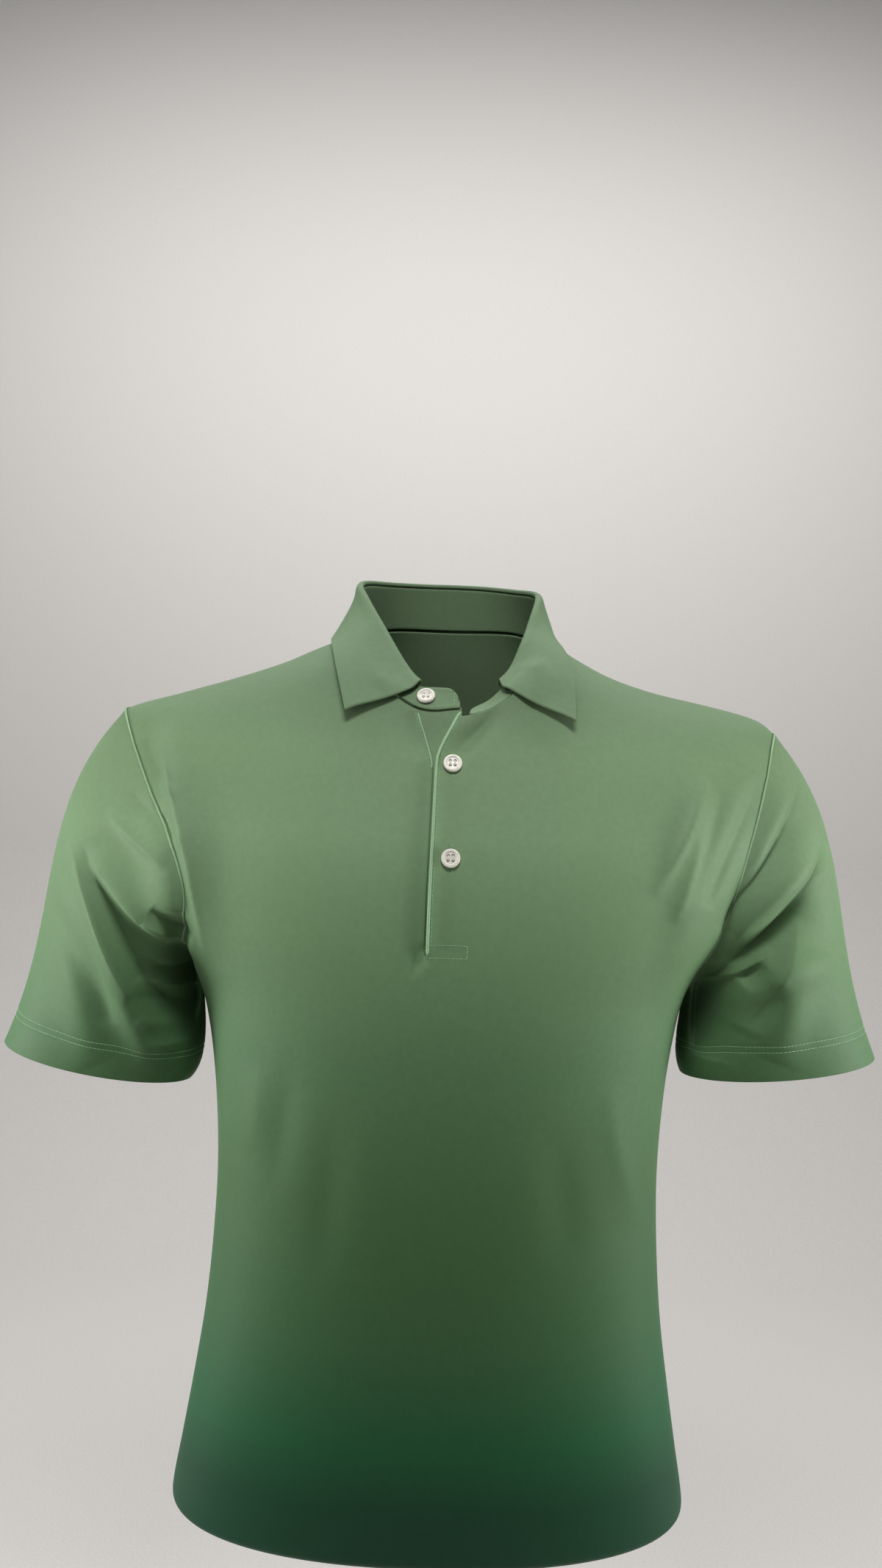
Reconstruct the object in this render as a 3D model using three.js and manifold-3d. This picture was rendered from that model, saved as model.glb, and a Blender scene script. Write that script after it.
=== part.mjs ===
// A short-sleeved polo shirt in smooth stretch jersey, hollow and shaped as it hangs when worn.
// Units are millimetres. +Z is up, the front faces -Y and +X is the wearer's left.
// The origin is the centre of the neck opening, level with the shoulders beside the collar.
import * as THREE from "three";
import { mergeVertices } from "three/addons/utils/BufferGeometryUtils.js";
import Module from "manifold-3d";

const wasm = await Module();
wasm.setup();

// Driving sizes
const WALL = 1.4; // jersey wall
const COLLAR_WALL = 1.6; // two layers of jersey and a stiffener
const SEAM_STEP = 0.34; // each panel stops this far short of its seam
const SHARPEST_CORNER = 0.5; // limits the step at a sheet's sharp corners
const LONGEST_MITRE = 2; // limits how much deeper a wall gets in a sharp crease
const UNDERARM_Z = -228;
const RIDGE_Y = 8; // the top line of the shoulders lies a little behind the side seams
const SHOULDER_POWER = 2.6; // how square the chest is where it turns over the shoulder
const NECK_RISE_BACK = 45; // extra height of the imagined ridge behind the neck
const NECK_HALF_WIDTH = 74;

// Level sections of the body, from the lower edge up: half width, depth in front and behind, squareness
const TORSO = [
  { z: -620, width: 177, front: 82, back: 104, square: 2.25 },
  { z: -577, width: 175, front: 88, back: 105, square: 2.3 },
  { z: -540, width: 169, front: 93, back: 105, square: 2.35 },
  { z: -500, width: 162.5, front: 97, back: 104, square: 2.4 },
  { z: -450, width: 155.5, front: 99, back: 100, square: 2.4 },
  { z: -400, width: 151.5, front: 101, back: 96, square: 2.4 },
  { z: -350, width: 150, front: 105, back: 95, square: 2.4 },
  { z: -300, width: 152.5, front: 111, back: 98, square: 2.4 },
  { z: -260, width: 157.5, front: 115, back: 102, square: 2.4 },
  { z: -228, width: 165, front: 118, back: 105, square: 2.4 },
  { z: -190, width: 185, front: 119, back: 108, square: 2.45 },
  { z: -140, width: 206, front: 117, back: 109, square: 2.5 },
  { z: -95, width: 226, front: 109, back: 105, square: 2.5 },
  { z: -50, width: 240, front: 99, back: 98, square: 2.5 },
  { z: 0, width: 250, front: 93, back: 87, square: 2.5 },
  { z: 60, width: 254, front: 90, back: 80, square: 2.5 },
];

// Height of the shoulders' top line; the wearer's left shoulder hangs a little lower
const RIDGE = [
  { x: -260, z: -68 },
  { x: -226, z: -47 },
  { x: -187, z: -35 },
  { x: -149, z: -23.5 },
  { x: -116, z: -12 },
  { x: -93, z: -1.5 },
  { x: -70, z: 8 },
  { x: -40, z: 20 },
  { x: 0, z: 26 },
  { x: 40, z: 20 },
  { x: 70, z: 5 },
  { x: 85, z: -4 },
  { x: 108, z: -15.5 },
  { x: 138, z: -25 },
  { x: 177, z: -33 },
  { x: 212, z: -42 },
  { x: 226, z: -52 },
  { x: 260, z: -74 },
];

// The lower edge turns under: how far in, and how high, from the wall's straight end
const TURN_UNDER = [
  { inset: 20, z: -586 },
  { inset: 11, z: -587 },
  { inset: 4, z: -584.5 },
  { inset: 0.8, z: -581 },
];

// Heights of the level rows of both body panels, above the turned edge
const LEVEL_ROWS = [-577, -553, -522, -490, -455, -420, -385, -350, -315, -285, -258];
const RISING_ROWS = 14; // rows from the underarm to the shoulder
const NECK_COLUMNS = 8; // columns from the middle to the neck point, each side
const SHOULDER_COLUMNS = 6; // columns along one shoulder

// The front opening: how far its two edges lie from the middle at each height
const OPENING = [
  { z: -196, right: -12, left: -10.8 },
  { z: -160, right: -11.7, left: -10.6 },
  { z: -120, right: -11, left: -9.8 },
  { z: -88, right: -10.5, left: -9.3 },
  { z: -80, right: -10.6, left: -8.9 },
  { z: -75, right: -11.7, left: -8.2 },
  { z: -70, right: -13.2, left: -6.6 },
  { z: -63, right: -15.4, left: -3.4 },
  { z: -56, right: -17.8, left: 0.2 },
  { z: -50, right: -19.6, left: 3.2 },
  { z: -46, right: -20.6, left: 6.2 },
];
const OPENING_TOP = { right: 19.8, left: 3.6 }; // how far its edges lie from the middle at the neck seam
const OPENING_ROW = 2; // the row of the rising part at which the opening ends

// Broad folds, as the front view shows them: a ridge (or, below zero, a trough) along a bent line from one
// point to another, its height, and how softly it falls off above and below the line
const FRONT_FOLDS = [
  { x1: 206, z1: -62, x2: 158, z2: -212, bend: -6, height: 7, above: 16, below: 10 },
  { x1: 168, z1: -72, x2: 146, z2: -240, bend: -5, height: 4, above: 14, below: 13 },
  { x1: -200, z1: -66, x2: -158, z2: -262, bend: 7, height: 9, above: 11, below: 16 },
  { x1: -172, z1: -80, x2: -146, z2: -225, bend: 3, height: 3.5, above: 14, below: 15 },
  { x1: 246, z1: -78, x2: 186, z2: -184, bend: -12, height: 8, above: 18, below: 9 },
  { x1: 272, z1: -136, x2: 172, z2: -218, bend: -20, height: 12, above: 22, below: 10 },
  { x1: 262, z1: -205, x2: 178, z2: -236, bend: -12, height: 6, above: 13, below: 12 },
  { x1: 218, z1: -268, x2: 244, z2: -192, bend: 3, height: 6, above: 15, below: 14 },
  { x1: -262, z1: -118, x2: -178, z2: -246, bend: 12, height: 8, above: 18, below: 11 },
  { x1: -268, z1: -152, x2: -184, z2: -292, bend: 12, height: 10, above: 20, below: 11 },
  { x1: -262, z1: -190, x2: -226, z2: -284, bend: 6, height: 5, above: 12, below: 14 },
];
const BACK_FOLDS = [
  { x1: 205, z1: -70, x2: 160, z2: -215, bend: -6, height: 6, above: 16, below: 10 },
  { x1: 266, z1: -136, x2: 176, z2: -222, bend: -16, height: 9, above: 20, below: 10 },
  { x1: 252, z1: -205, x2: 180, z2: -250, bend: -10, height: 6, above: 14, below: 12 },
  { x1: -204, z1: -66, x2: -160, z2: -220, bend: 6, height: 6, above: 10, below: 16 },
  { x1: -264, z1: -134, x2: -178, z2: -228, bend: 14, height: 8.5, above: 19, below: 10 },
  { x1: -258, z1: -176, x2: -202, z2: -282, bend: 8, height: 6, above: 14, below: 14 },
  { x1: 52, z1: -230, x2: 28, z2: -430, bend: 6, height: 4, above: 20, below: 20 },
  { x1: -58, z1: -220, x2: -32, z2: -410, bend: -6, height: 4, above: 20, below: 20 },
];
const NEAR = 0.01; // a small step along a surface, to find its direction
const FOLD_START = 10; // folds begin this far in front of, or behind, the side seams
const FOLD_FADE = 40; // and reach their full height over this depth

// Sleeves: hem ring centre, half axes, the slope of the hem line, how closely the underside
// first falls, and how strongly the top side runs outwards
const SLEEVES = [
  {
    name: "sleeve_left",
    side: 1,
    x: 232,
    y: -4,
    z: -278.5,
    half: 66.5,
    depth: 49,
    slope: 7,
    tuck: 30,
    out: 185,
  },
  {
    name: "sleeve_right",
    side: -1,
    x: 236,
    y: -4,
    z: -289,
    half: 65,
    depth: 48,
    slope: 10.5,
    tuck: 54,
    out: 190,
  },
];
const SLEEVE_RINGS = 16;
// How strongly a sleeve runs outwards and down, where it leaves the armhole and where it reaches its hem
const SLEEVE_RUN = {
  top: { down: 207, hemDown: 278 },
  under: { down: 4, hemDown: 62 },
};
const SLEEVE_UNDER_OUT = 18; // how strongly its underside runs outwards from the armhole
const SLEEVE_HEM_OUT = 117; // how strongly its top side still runs outwards at the hem
const SLEEVE_PUFF = 26; // how far it swells to the front and back on its way

// Collar stand: where its top edge lies, and how far its lower edge is held off the neck seam, from
// the middle of the front (0) by the neck point (1) to the middle of the back (2); below 0 the tab
// passes the middle
const STAND_RIGHT = [
  { at: -0.06, x: 5, y: -67, z: -31.5, lift: 7 },
  { at: 0, x: -1, y: -67, z: -31.2, lift: 6.5 },
  { at: 0.1, x: -11.4, y: -66, z: -31, lift: 4 },
  { at: 0.2, x: -20, y: -64, z: -30.5, lift: 2.2 },
  { at: 0.3, x: -25.5, y: -61, z: -27, lift: 1.8 },
  { at: 0.45, x: -31.5, y: -56, z: -20, lift: 1.8 },
  { at: 0.6, x: -39, y: -47.5, z: -8.5, lift: 1.8 },
  { at: 0.8, x: -50, y: -32, z: 10.5, lift: 1.8 },
  { at: 0.9, x: -56.5, y: -20, z: 22, lift: 1.8 },
  { at: 1, x: -62, y: -8, z: 33, lift: 1.8 },
  { at: 1.12, x: -65.5, y: 5, z: 41.5, lift: 1.8 },
  { at: 1.25, x: -63, y: 20, z: 46.5, lift: 1.8 },
  { at: 1.5, x: -46, y: 41, z: 49.5, lift: 1.8 },
  { at: 1.75, x: -23, y: 53, z: 51, lift: 1.8 },
  { at: 2, x: 0, y: 56, z: 51.5, lift: 1.8 },
];
const STAND_LEFT = [
  { at: 0.1, x: 11.7, y: -66, z: -43.2, lift: 1.8 },
  { at: 0.2, x: 19, y: -62, z: -40.5, lift: 1.8 },
  { at: 0.3, x: 25.5, y: -59, z: -36, lift: 1.8 },
  { at: 0.45, x: 34.5, y: -53, z: -26, lift: 1.8 },
  { at: 0.6, x: 41.5, y: -45, z: -15, lift: 1.8 },
  { at: 0.8, x: 48, y: -33, z: 1.5, lift: 1.8 },
  { at: 0.9, x: 51.5, y: -21, z: 12, lift: 1.8 },
  { at: 1, x: 55, y: -8, z: 25, lift: 1.8 },
  { at: 1.12, x: 57.5, y: 6, z: 36, lift: 1.8 },
  { at: 1.25, x: 56.5, y: 20, z: 42, lift: 1.8 },
  { at: 1.5, x: 42, y: 41, z: 47, lift: 1.8 },
  { at: 1.75, x: 21, y: 53, z: 50.5, lift: 1.8 },
  { at: 2, x: 0, y: 56, z: 51.5, lift: 1.8 },
];
const STAND_ROWS = 3;
const TAB_COLUMNS = 8;
const TAB_CUT = 0.5; // how much of the height is left at a tab's very end
const TAB_END = { right: 6, left: 11, radius: 9 }; // where the front tabs end
const LEAF_START = { right: 22, left: 40 }; // where each half of the leaf begins, from the middle
// The leaf's outer edge on the body surface, from a front point (0) past the shoulder (0.5) to the back (1)
const LEAF_RIGHT = [
  { at: 0, across: -0.176, over: 0.448, lift: 9.5 },
  { at: 0.22, across: -0.199, over: 0.68, lift: 6 },
  { at: 0.5, across: -0.213, over: 0.93, lift: 3.5 },
  { at: 0.72, across: -0.195, over: 1.24, lift: 3 },
  { at: 0.88, across: -0.1, over: 1.41, lift: 3 },
  { at: 1, across: 0, over: 1.45, lift: 3 },
];
const LEAF_LEFT = [
  { at: 0, across: 0.2, over: 0.465, lift: 9.5 },
  { at: 0.22, across: 0.2, over: 0.68, lift: 6 },
  { at: 0.5, across: 0.181, over: 0.93, lift: 3 },
  { at: 0.72, across: 0.18, over: 1.24, lift: 3 },
  { at: 0.88, across: 0.1, over: 1.41, lift: 3 },
  { at: 1, across: 0, over: 1.45, lift: 3 },
];
const LEAF_CLEAR = 1; // air between the leaf and what it lies over
const LEAF_END_CLEAR = 3.2; // and at its front edges, where it lifts away
const LEAF_END_SHARE = 0.12; // over this share of its length
const PUSHES = 6; // how often the leaf is moved clear of what lies nearest
const LEAF_COLUMNS = 44;
// How the leaf's front edge sags, next to where it leaves the stand
const LEAF_SAG = { right: { x: 0, z: -2 }, left: { x: -6, z: -19 }, fade: 0.16 };
const ROLL_RISE = 4.5; // the leaf rises this far above the stand before it turns over
const ROLL_WIDTH = 5.5;
const ROLL_DROP = 1; // its outer side comes down this far below where it started
const LEAF_GAP = 0.6; // between the stand's top edge and the leaf
const FALL_RUN = { down: 0.3, in: 0.35, bulge: 0.04 }; // the shape of its fall, as shares of its length

const BUTTON = { radius: 5.8, thick: 2.4, rim: 1.5, dish: 0.7, bevel: 0.6, hole: 0.85, pitch: 1.5 };
const BUTTON_SEGMENTS = 24;
const HOLE_SEGMENTS = 8;
const BUTTON_GAP = 0.35;
const TAB_BUTTON_GAP = 0.7;
const BUTTONS = [
  { name: "button_middle", x: 1.7, z: -80.5 },
  { name: "button_lower", x: 2.2, z: -137.5 },
];
const TAB_BUTTON_X = -16.5;
const PLACKET_BOTTOM = -206; // its lower end
const PLACKET_END = { bottom: 10, top: 7 }; // how far its hidden edge lies from the middle
const PLACKET_RISE = 1.5; // how far it runs on behind the tab's lower edge
const PLACKET_TUCK = 5; // how far the under placket reaches below the wearer's right edge
const PLACKET_DROP = WALL + 0.5;
const PLACKET_ROWS = 12;
const PLACKET_COLUMNS = 4;

const CLOTH_COLOUR = 0x5f8a5d;
const BUTTON_COLOUR = 0xc9c4b8;

// Curves through the rows of a table
function slopeAt(rows, key, field, index) {
  const low = Math.max(index - 1, 0);
  const high = Math.min(index + 1, rows.length - 1);
  return (rows[high][field] - rows[low][field]) / (rows[high][key] - rows[low][key]);
}

function readTable(rows, key, at, field) {
  const held = Math.min(Math.max(at, rows[0][key]), rows[rows.length - 1][key]);
  let index = 0;
  while (index < rows.length - 2 && held > rows[index + 1][key]) index += 1;
  const run = rows[index + 1][key] - rows[index][key];
  const t = (held - rows[index][key]) / run;
  const startSlope = slopeAt(rows, key, field, index) * run;
  const endSlope = slopeAt(rows, key, field, index + 1) * run;
  return hermite(rows[index][field], startSlope, rows[index + 1][field], endSlope, t);
}

function hermite(start, startSlope, end, endSlope, t) {
  const t2 = t * t;
  const t3 = t2 * t;
  return (
    (2 * t3 - 3 * t2 + 1) * start +
    (t3 - 2 * t2 + t) * startSlope +
    (3 * t2 - 2 * t3) * end +
    (t3 - t2) * endSlope
  );
}

function bezier(points, t) {
  const s = 1 - t;
  const weights = [s * s * s, 3 * s * s * t, 3 * s * t * t, t * t * t];
  return points[0].map((_, axis) => weights.reduce((sum, w, i) => sum + w * points[i][axis], 0));
}

const mix = (a, b, t) => a + (b - a) * t;
const clamp01 = (value) => Math.min(Math.max(value, 0), 1);
const smooth = (value) => clamp01(value) ** 2 * (3 - 2 * clamp01(value));

// The body surface, as two numbers: across, -1 to 1 from the wearer's right side seam to the left
// one, and over, 0 at underarm level in front, 1 on top of the shoulder and 2 at underarm level behind
function sectionDepth(across, square) {
  const reach = Math.abs(Math.sin((across * Math.PI) / 2));
  return (1 - reach ** square) ** (1 / square);
}

function risingPoint(across, over) {
  const behind = over > 1;
  const turn = (Math.min(over, 2 - over) * Math.PI) / 2;
  const rise = Math.max(Math.sin(turn), 0) ** (2 / SHOULDER_POWER);
  const depthLeft = Math.max(Math.cos(turn), 0) ** (2 / SHOULDER_POWER);
  const reach = Math.sin((across * Math.PI) / 2);
  let z = UNDERARM_Z;
  let x = 0;
  for (let step = 0; step < 12; step += 1) {
    x = readTable(TORSO, "z", z, "width") * reach;
    const inNeck = clamp01(1 - (x / NECK_HALF_WIDTH) ** 2) ** 1.5;
    const top = readTable(RIDGE, "x", x, "z") + NECK_RISE_BACK * inNeck * smooth((over - 1) / 0.15);
    z = UNDERARM_Z + (top - UNDERARM_Z) * rise;
  }
  const depth = readTable(TORSO, "z", z, behind ? "back" : "front") * (behind ? 1 : -1);
  const round = sectionDepth(across, readTable(TORSO, "z", z, "square"));
  return new THREE.Vector3(x, RIDGE_Y * (1 - depthLeft) + depth * round * depthLeft, z);
}

function levelPoint(across, z, behind, inset) {
  const width = readTable(TORSO, "z", z, "width") - inset;
  const depth = readTable(TORSO, "z", z, behind ? "back" : "front") - inset;
  const round = sectionDepth(across, readTable(TORSO, "z", z, "square"));
  return new THREE.Vector3(
    width * Math.sin((across * Math.PI) / 2),
    depth * round * (behind ? 1 : -1),
    z,
  );
}

// Folds move a point forwards (or, behind, backwards) by what the fold tables say at its place in
// the front view
function foldHeight(folds, x, z) {
  let sum = 0;
  for (const fold of folds) {
    const runX = fold.x2 - fold.x1;
    const runZ = fold.z2 - fold.z1;
    const length = Math.hypot(runX, runZ);
    const t = ((x - fold.x1) * runX + (z - fold.z1) * runZ) / length ** 2;
    if (t > 0 && t < 1) {
      const sideways = ((x - fold.x1) * -runZ + (z - fold.z1) * runX) / length;
      const off = sideways - fold.bend * 4 * t * (1 - t);
      const upward = runX > 0 ? off : -off;
      const softness = upward > 0 ? fold.above : fold.below;
      sum += fold.height * Math.sin(Math.PI * t) ** 0.8 * Math.exp(-((off / softness) ** 2));
    }
  }
  return sum;
}

function withFolds(point) {
  const depth = point.y - RIDGE_Y;
  const behind = smooth((depth - FOLD_START) / FOLD_FADE) * foldHeight(BACK_FOLDS, point.x, point.z);
  const before = smooth((-depth - FOLD_START) / FOLD_FADE) * foldHeight(FRONT_FOLDS, point.x, point.z);
  return new THREE.Vector3(point.x, point.y + behind - before, point.z);
}

// A surface's point and outward direction at two numbers
function surfaceFrame(surface, first, second) {
  const point = surface(first, second);
  const beside = surface(first + NEAR, second).sub(point);
  const beyond = surface(first, second + NEAR).sub(point);
  return { point, normal: beside.cross(beyond).normalize() };
}

// The body surface in front, near the middle, at a given x and z
function surfaceAt(x, z) {
  const over = overOfHeight(z);
  return surfaceFrame(risingPoint, acrossAt(x, over), over);
}

// Seam lines on the body surface, each for the wearer's left half; t runs from 0 to 1
const SEAM_OVER = 0.955; // the shoulder seam lies just in front of the top line
const TIP_ACROSS = 0.775;
const NECK_ACROSS = 0.18;
const FRONT_NECK_OVER = 0.433;
const BACK_NECK_OVER = 1.427;
const FRONT_ARMHOLE = {
  left: [[1, 0], [0.74, 0], [0.66, 0.45], [TIP_ACROSS, SEAM_OVER]],
  right: [[1, 0], [0.4, 0.14], [0.67, 0.08], [TIP_ACROSS, SEAM_OVER]],
};
const frontArmhole = (side) => (t) => bezier(side > 0 ? FRONT_ARMHOLE.left : FRONT_ARMHOLE.right, t);
const backArmhole = (t) =>
  bezier([[1, 2], [0.75, 2], [0.68, 1.5], [TIP_ACROSS, SEAM_OVER]], t);
const frontNeck = (t) =>
  bezier([[0, FRONT_NECK_OVER], [0.1, FRONT_NECK_OVER], [0.163, 0.6], [NECK_ACROSS, SEAM_OVER]], t);
const backNeck = (t) =>
  bezier([[0, BACK_NECK_OVER], [0.1, BACK_NECK_OVER], [NECK_ACROSS, 1.15], [NECK_ACROSS, SEAM_OVER]], t);

// The place on the front neck seam that lies a given distance from the middle
function frontNeckAt(distance) {
  let low = 0;
  let high = 1;
  for (let step = 0; step < 30; step += 1) {
    const middle = (low + high) / 2;
    if (risingPoint(...frontNeck(middle)).x < distance) low = middle;
    else high = middle;
  }
  return low;
}

// The across value at which the body surface has a given x, at a given over value
function acrossAt(x, over) {
  let across = 0;
  for (let step = 0; step < 12; step += 1) {
    const z = risingPoint(across, over).z;
    across = (Math.asin(x / readTable(TORSO, "z", z, "width")) * 2) / Math.PI;
  }
  return across;
}

// A patch between four edges, each a function of 0 to 1 giving [across, over]
function coons(bottom, top, inner, outer, u, v) {
  return [0, 1].map(
    (axis) =>
      mix(bottom(u)[axis], top(u)[axis], v) +
      mix(inner(v)[axis], outer(v)[axis], u) -
      mix(
        mix(bottom(0)[axis], bottom(1)[axis], u),
        mix(top(0)[axis], top(1)[axis], u),
        v,
      ),
  );
}

const COLUMNS = NECK_COLUMNS + SHOULDER_COLUMNS;

// The upper edge of half a panel: along the neck, then along the shoulder
function upperEdge(neck, neckStart) {
  const share = NECK_COLUMNS / COLUMNS;
  return (u) =>
    u <= share
      ? neck(mix(neckStart, 1, u / share))
      : [mix(NECK_ACROSS, TIP_ACROSS, (u - share) / (1 - share)), SEAM_OVER];
}

// Sheets of points and triangles, later thickened into walls
function gridSheet(grid, flip) {
  const points = grid.flat();
  const width = grid[0].length;
  const triangles = [];
  for (let row = 0; row < grid.length - 1; row += 1) {
    for (let column = 0; column < width - 1; column += 1) {
      const a = row * width + column;
      const quad = [a, a + 1, a + 1 + width, a + width];
      const split = [[quad[0], quad[1], quad[2]], [quad[0], quad[2], quad[3]]];
      triangles.push(...split.map(([p, q, r]) => (flip ? [p, r, q] : [p, q, r])));
    }
  }
  return { points, triangles };
}

function mergeSheets(parts) {
  const points = [];
  const triangles = [];
  const seen = new Map();
  for (const part of parts) {
    const index = part.points.map((point) => {
      const key = placeKey(point);
      if (!seen.has(key)) {
        seen.set(key, points.length);
        points.push(point);
      }
      return seen.get(key);
    });
    triangles.push(...part.triangles.map((t) => t.map((i) => index[i])));
  }
  return { points, triangles };
}

const placeKey = (p) => [p.x, p.y, p.z].map((value) => Math.round(value * 50)).join(",");

// Body panels
function levelRows(behind, acrossRow) {
  const rows = TURN_UNDER.map(({ inset, z }) =>
    acrossRow.map((across) => levelPoint(across, z, behind, inset)),
  );
  for (const z of LEVEL_ROWS) rows.push(acrossRow.map((across) => levelPoint(across, z, behind, 0)));
  return rows;
}

function overOfHeight(z) {
  const top = readTable(RIDGE, "x", 0, "z");
  const rise = (z - UNDERARM_Z) / (top - UNDERARM_Z);
  return (Math.asin(clamp01(rise) ** (SHOULDER_POWER / 2)) * 2) / Math.PI;
}

function openingEdge(side, over) {
  const z = risingPoint(0, over).z;
  return acrossAt(readTable(OPENING, "z", z, side > 0 ? "left" : "right"), over);
}

function frontHalf(side) {
  const top = upperEdge(frontNeck, frontNeckAt(side > 0 ? OPENING_TOP.left : OPENING_TOP.right));
  const firstOver = overOfHeight(OPENING[0].z);
  const rows = [];
  for (let row = 0; row <= RISING_ROWS; row += 1) {
    const share = row / RISING_ROWS;
    const open = row >= OPENING_ROW;
    const rowPoints = [];
    for (let column = 0; column <= COLUMNS; column += 1) {
      const u = column / COLUMNS;
      const bottom = (s) => [s, 0];
      const inner = (s) => {
        const over = mix(0, top(0)[1], s);
        return [open || over > firstOver ? side * openingEdge(side, over) : 0, over];
      };
      const place = coons(bottom, top, inner, frontArmhole(side), u, share);
      rowPoints.push(withFolds(risingPoint(side * place[0], place[1])));
    }
    rows.push(side > 0 ? rowPoints : rowPoints.reverse());
  }
  return rows;
}

function fullAcross() {
  const list = [];
  for (let column = -COLUMNS; column <= COLUMNS; column += 1) list.push(column / COLUMNS);
  return list;
}

function frontPanel() {
  const left = frontHalf(1);
  const right = frontHalf(-1);
  const lower = levelRows(false, fullAcross()).map((row) => row.map(withFolds));
  const joined = [];
  for (let row = 0; row < OPENING_ROW; row += 1) joined.push([...right[row].slice(0, -1), ...left[row]]);
  const below = gridSheet([...lower, ...joined], false);
  // The row where the opening ends is shared by both halves
  const end = OPENING_ROW;
  const meet = right[end][COLUMNS].clone().lerp(left[end][0], 0.5);
  right[end][COLUMNS] = meet;
  left[end][0] = meet.clone();
  const bridge = gridSheet([joined[joined.length - 1], [...right[end].slice(0, -1), ...left[end]]], false);
  return mergeSheets([below, bridge, gridSheet(right.slice(end), false), gridSheet(left.slice(end), false)]);
}

function backPanel() {
  const top = upperEdge(backNeck, 0);
  const rows = [];
  for (let row = 0; row <= RISING_ROWS; row += 1) {
    const rowPoints = [];
    for (let column = -COLUMNS; column <= COLUMNS; column += 1) {
      const u = Math.abs(column) / COLUMNS;
      const bottom = (s) => [s, 2];
      const inner = (s) => [0, mix(2, BACK_NECK_OVER, s)];
      const place = coons(bottom, top, inner, backArmhole, u, row / RISING_ROWS);
      rowPoints.push(withFolds(risingPoint(Math.sign(column) * place[0], place[1])));
    }
    rows.push(rowPoints);
  }
  const lower = levelRows(true, fullAcross()).map((row) => row.map(withFolds));
  return gridSheet([...lower, ...rows], true);
}

// A sleeve runs from the armhole to an oval hem ring
function sleeve({ side, x, y, z, half, depth, slope, tuck, out }) {
  const loop = [];
  const steps = RISING_ROWS;
  for (let step = 0; step < steps; step += 1) loop.push(frontArmhole(side)(1 - step / steps));
  for (let step = 0; step < steps; step += 1) loop.push(backArmhole(step / steps));
  const tilt = (slope * Math.PI) / 180;
  const outward = new THREE.Vector3(side * Math.cos(tilt), 0, Math.sin(tilt));
  const { top, under } = SLEEVE_RUN;
  const rows = [];
  for (let ring = 0; ring <= SLEEVE_RINGS; ring += 1) {
    const t = ring / SLEEVE_RINGS;
    const row = loop.map(([across, over], index) => {
      const angle = (index / loop.length) * Math.PI * 2;
      const share = (1 + Math.cos(angle)) / 2;
      const lift = Math.abs(Math.cos(angle / 2));
      const start = risingPoint(side * across, over);
      const startRun = new THREE.Vector3(
        side * mix(SLEEVE_UNDER_OUT, out, lift),
        -Math.sin(angle) * SLEEVE_PUFF,
        -mix(under.down, top.down, share),
      );
      const hem = new THREE.Vector3(side * x, y - depth * Math.sin(angle), z);
      hem.addScaledVector(outward, half * Math.cos(angle));
      const hemRun = new THREE.Vector3(
        side * mix(tuck, SLEEVE_HEM_OUT, share),
        0,
        -mix(under.hemDown, top.hemDown, share),
      );
      const along = (axis) => hermite(start[axis], startRun[axis], hem[axis], hemRun[axis], t);
      return withFolds(new THREE.Vector3(along("x"), along("y"), along("z")));
    });
    rows.push([...row, row[0].clone()]);
  }
  return mergeSheets([gridSheet(rows, side < 0)]);
}

// The neck seam as one line: at 0 the middle of the front, 1 the wearer's right neck point, 2 the
// middle of the back, 3 the left neck point, 4 the front again; below 0 it passes the middle
function neckSeam(at) {
  const fromRight = at <= 2 ? Math.abs(at) : 4 - at;
  const side = at < 0 || at >= 2 ? 1 : -1;
  const [across, over] = fromRight <= 1 ? frontNeck(fromRight) : backNeck(2 - fromRight);
  return risingPoint(side * across, over);
}

const fromFront = (at) => Math.min(Math.abs(at), Math.abs(4 - at));

function standPoint(at, share, cut) {
  const table = at > 2 ? STAND_LEFT : STAND_RIGHT;
  const near = at > 2 ? 4 - at : at;
  const base = neckSeam(at);
  const top = new THREE.Vector3(...["x", "y", "z"].map((axis) => readTable(table, "at", near, axis)));
  const height = top.distanceTo(base);
  return base.lerp(top, mix(readTable(table, "at", near, "lift") / height, cut, share));
}

// Places along the stand: the neck seam's own columns, with each tab's end added
function standPlaces() {
  const rightStart = frontNeckAt(OPENING_TOP.right);
  const rightEnd = -frontNeckAt(TAB_END.right);
  const leftEnd = 4 - frontNeckAt(TAB_END.left);
  const places = [];
  const addRun = (from, to, count) => {
    for (let step = 0; step < count; step += 1) places.push(mix(from, to, step / count));
  };
  addRun(rightEnd, rightStart, TAB_COLUMNS);
  addRun(rightStart, 1, NECK_COLUMNS);
  addRun(1, 3, 2 * NECK_COLUMNS);
  addRun(3, leftEnd, NECK_COLUMNS + 2);
  return [...places, leftEnd];
}

// The tab's corner is rounded off towards its end
function tabCut(at) {
  if (fromFront(at) > 0.4) return 1;
  const x = neckSeam(at).x;
  const into = clamp01((at > 2 ? x - TAB_END.left : TAB_END.right - x) / TAB_END.radius);
  return mix(TAB_CUT, 1, Math.sqrt(1 - (1 - into) ** 2));
}

function collarStand() {
  const rows = [];
  for (let row = 0; row <= STAND_ROWS; row += 1) {
    rows.push(standPlaces().map((at) => standPoint(at, row / STAND_ROWS, tabCut(at))));
  }
  return gridSheet(rows, true);
}

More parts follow.
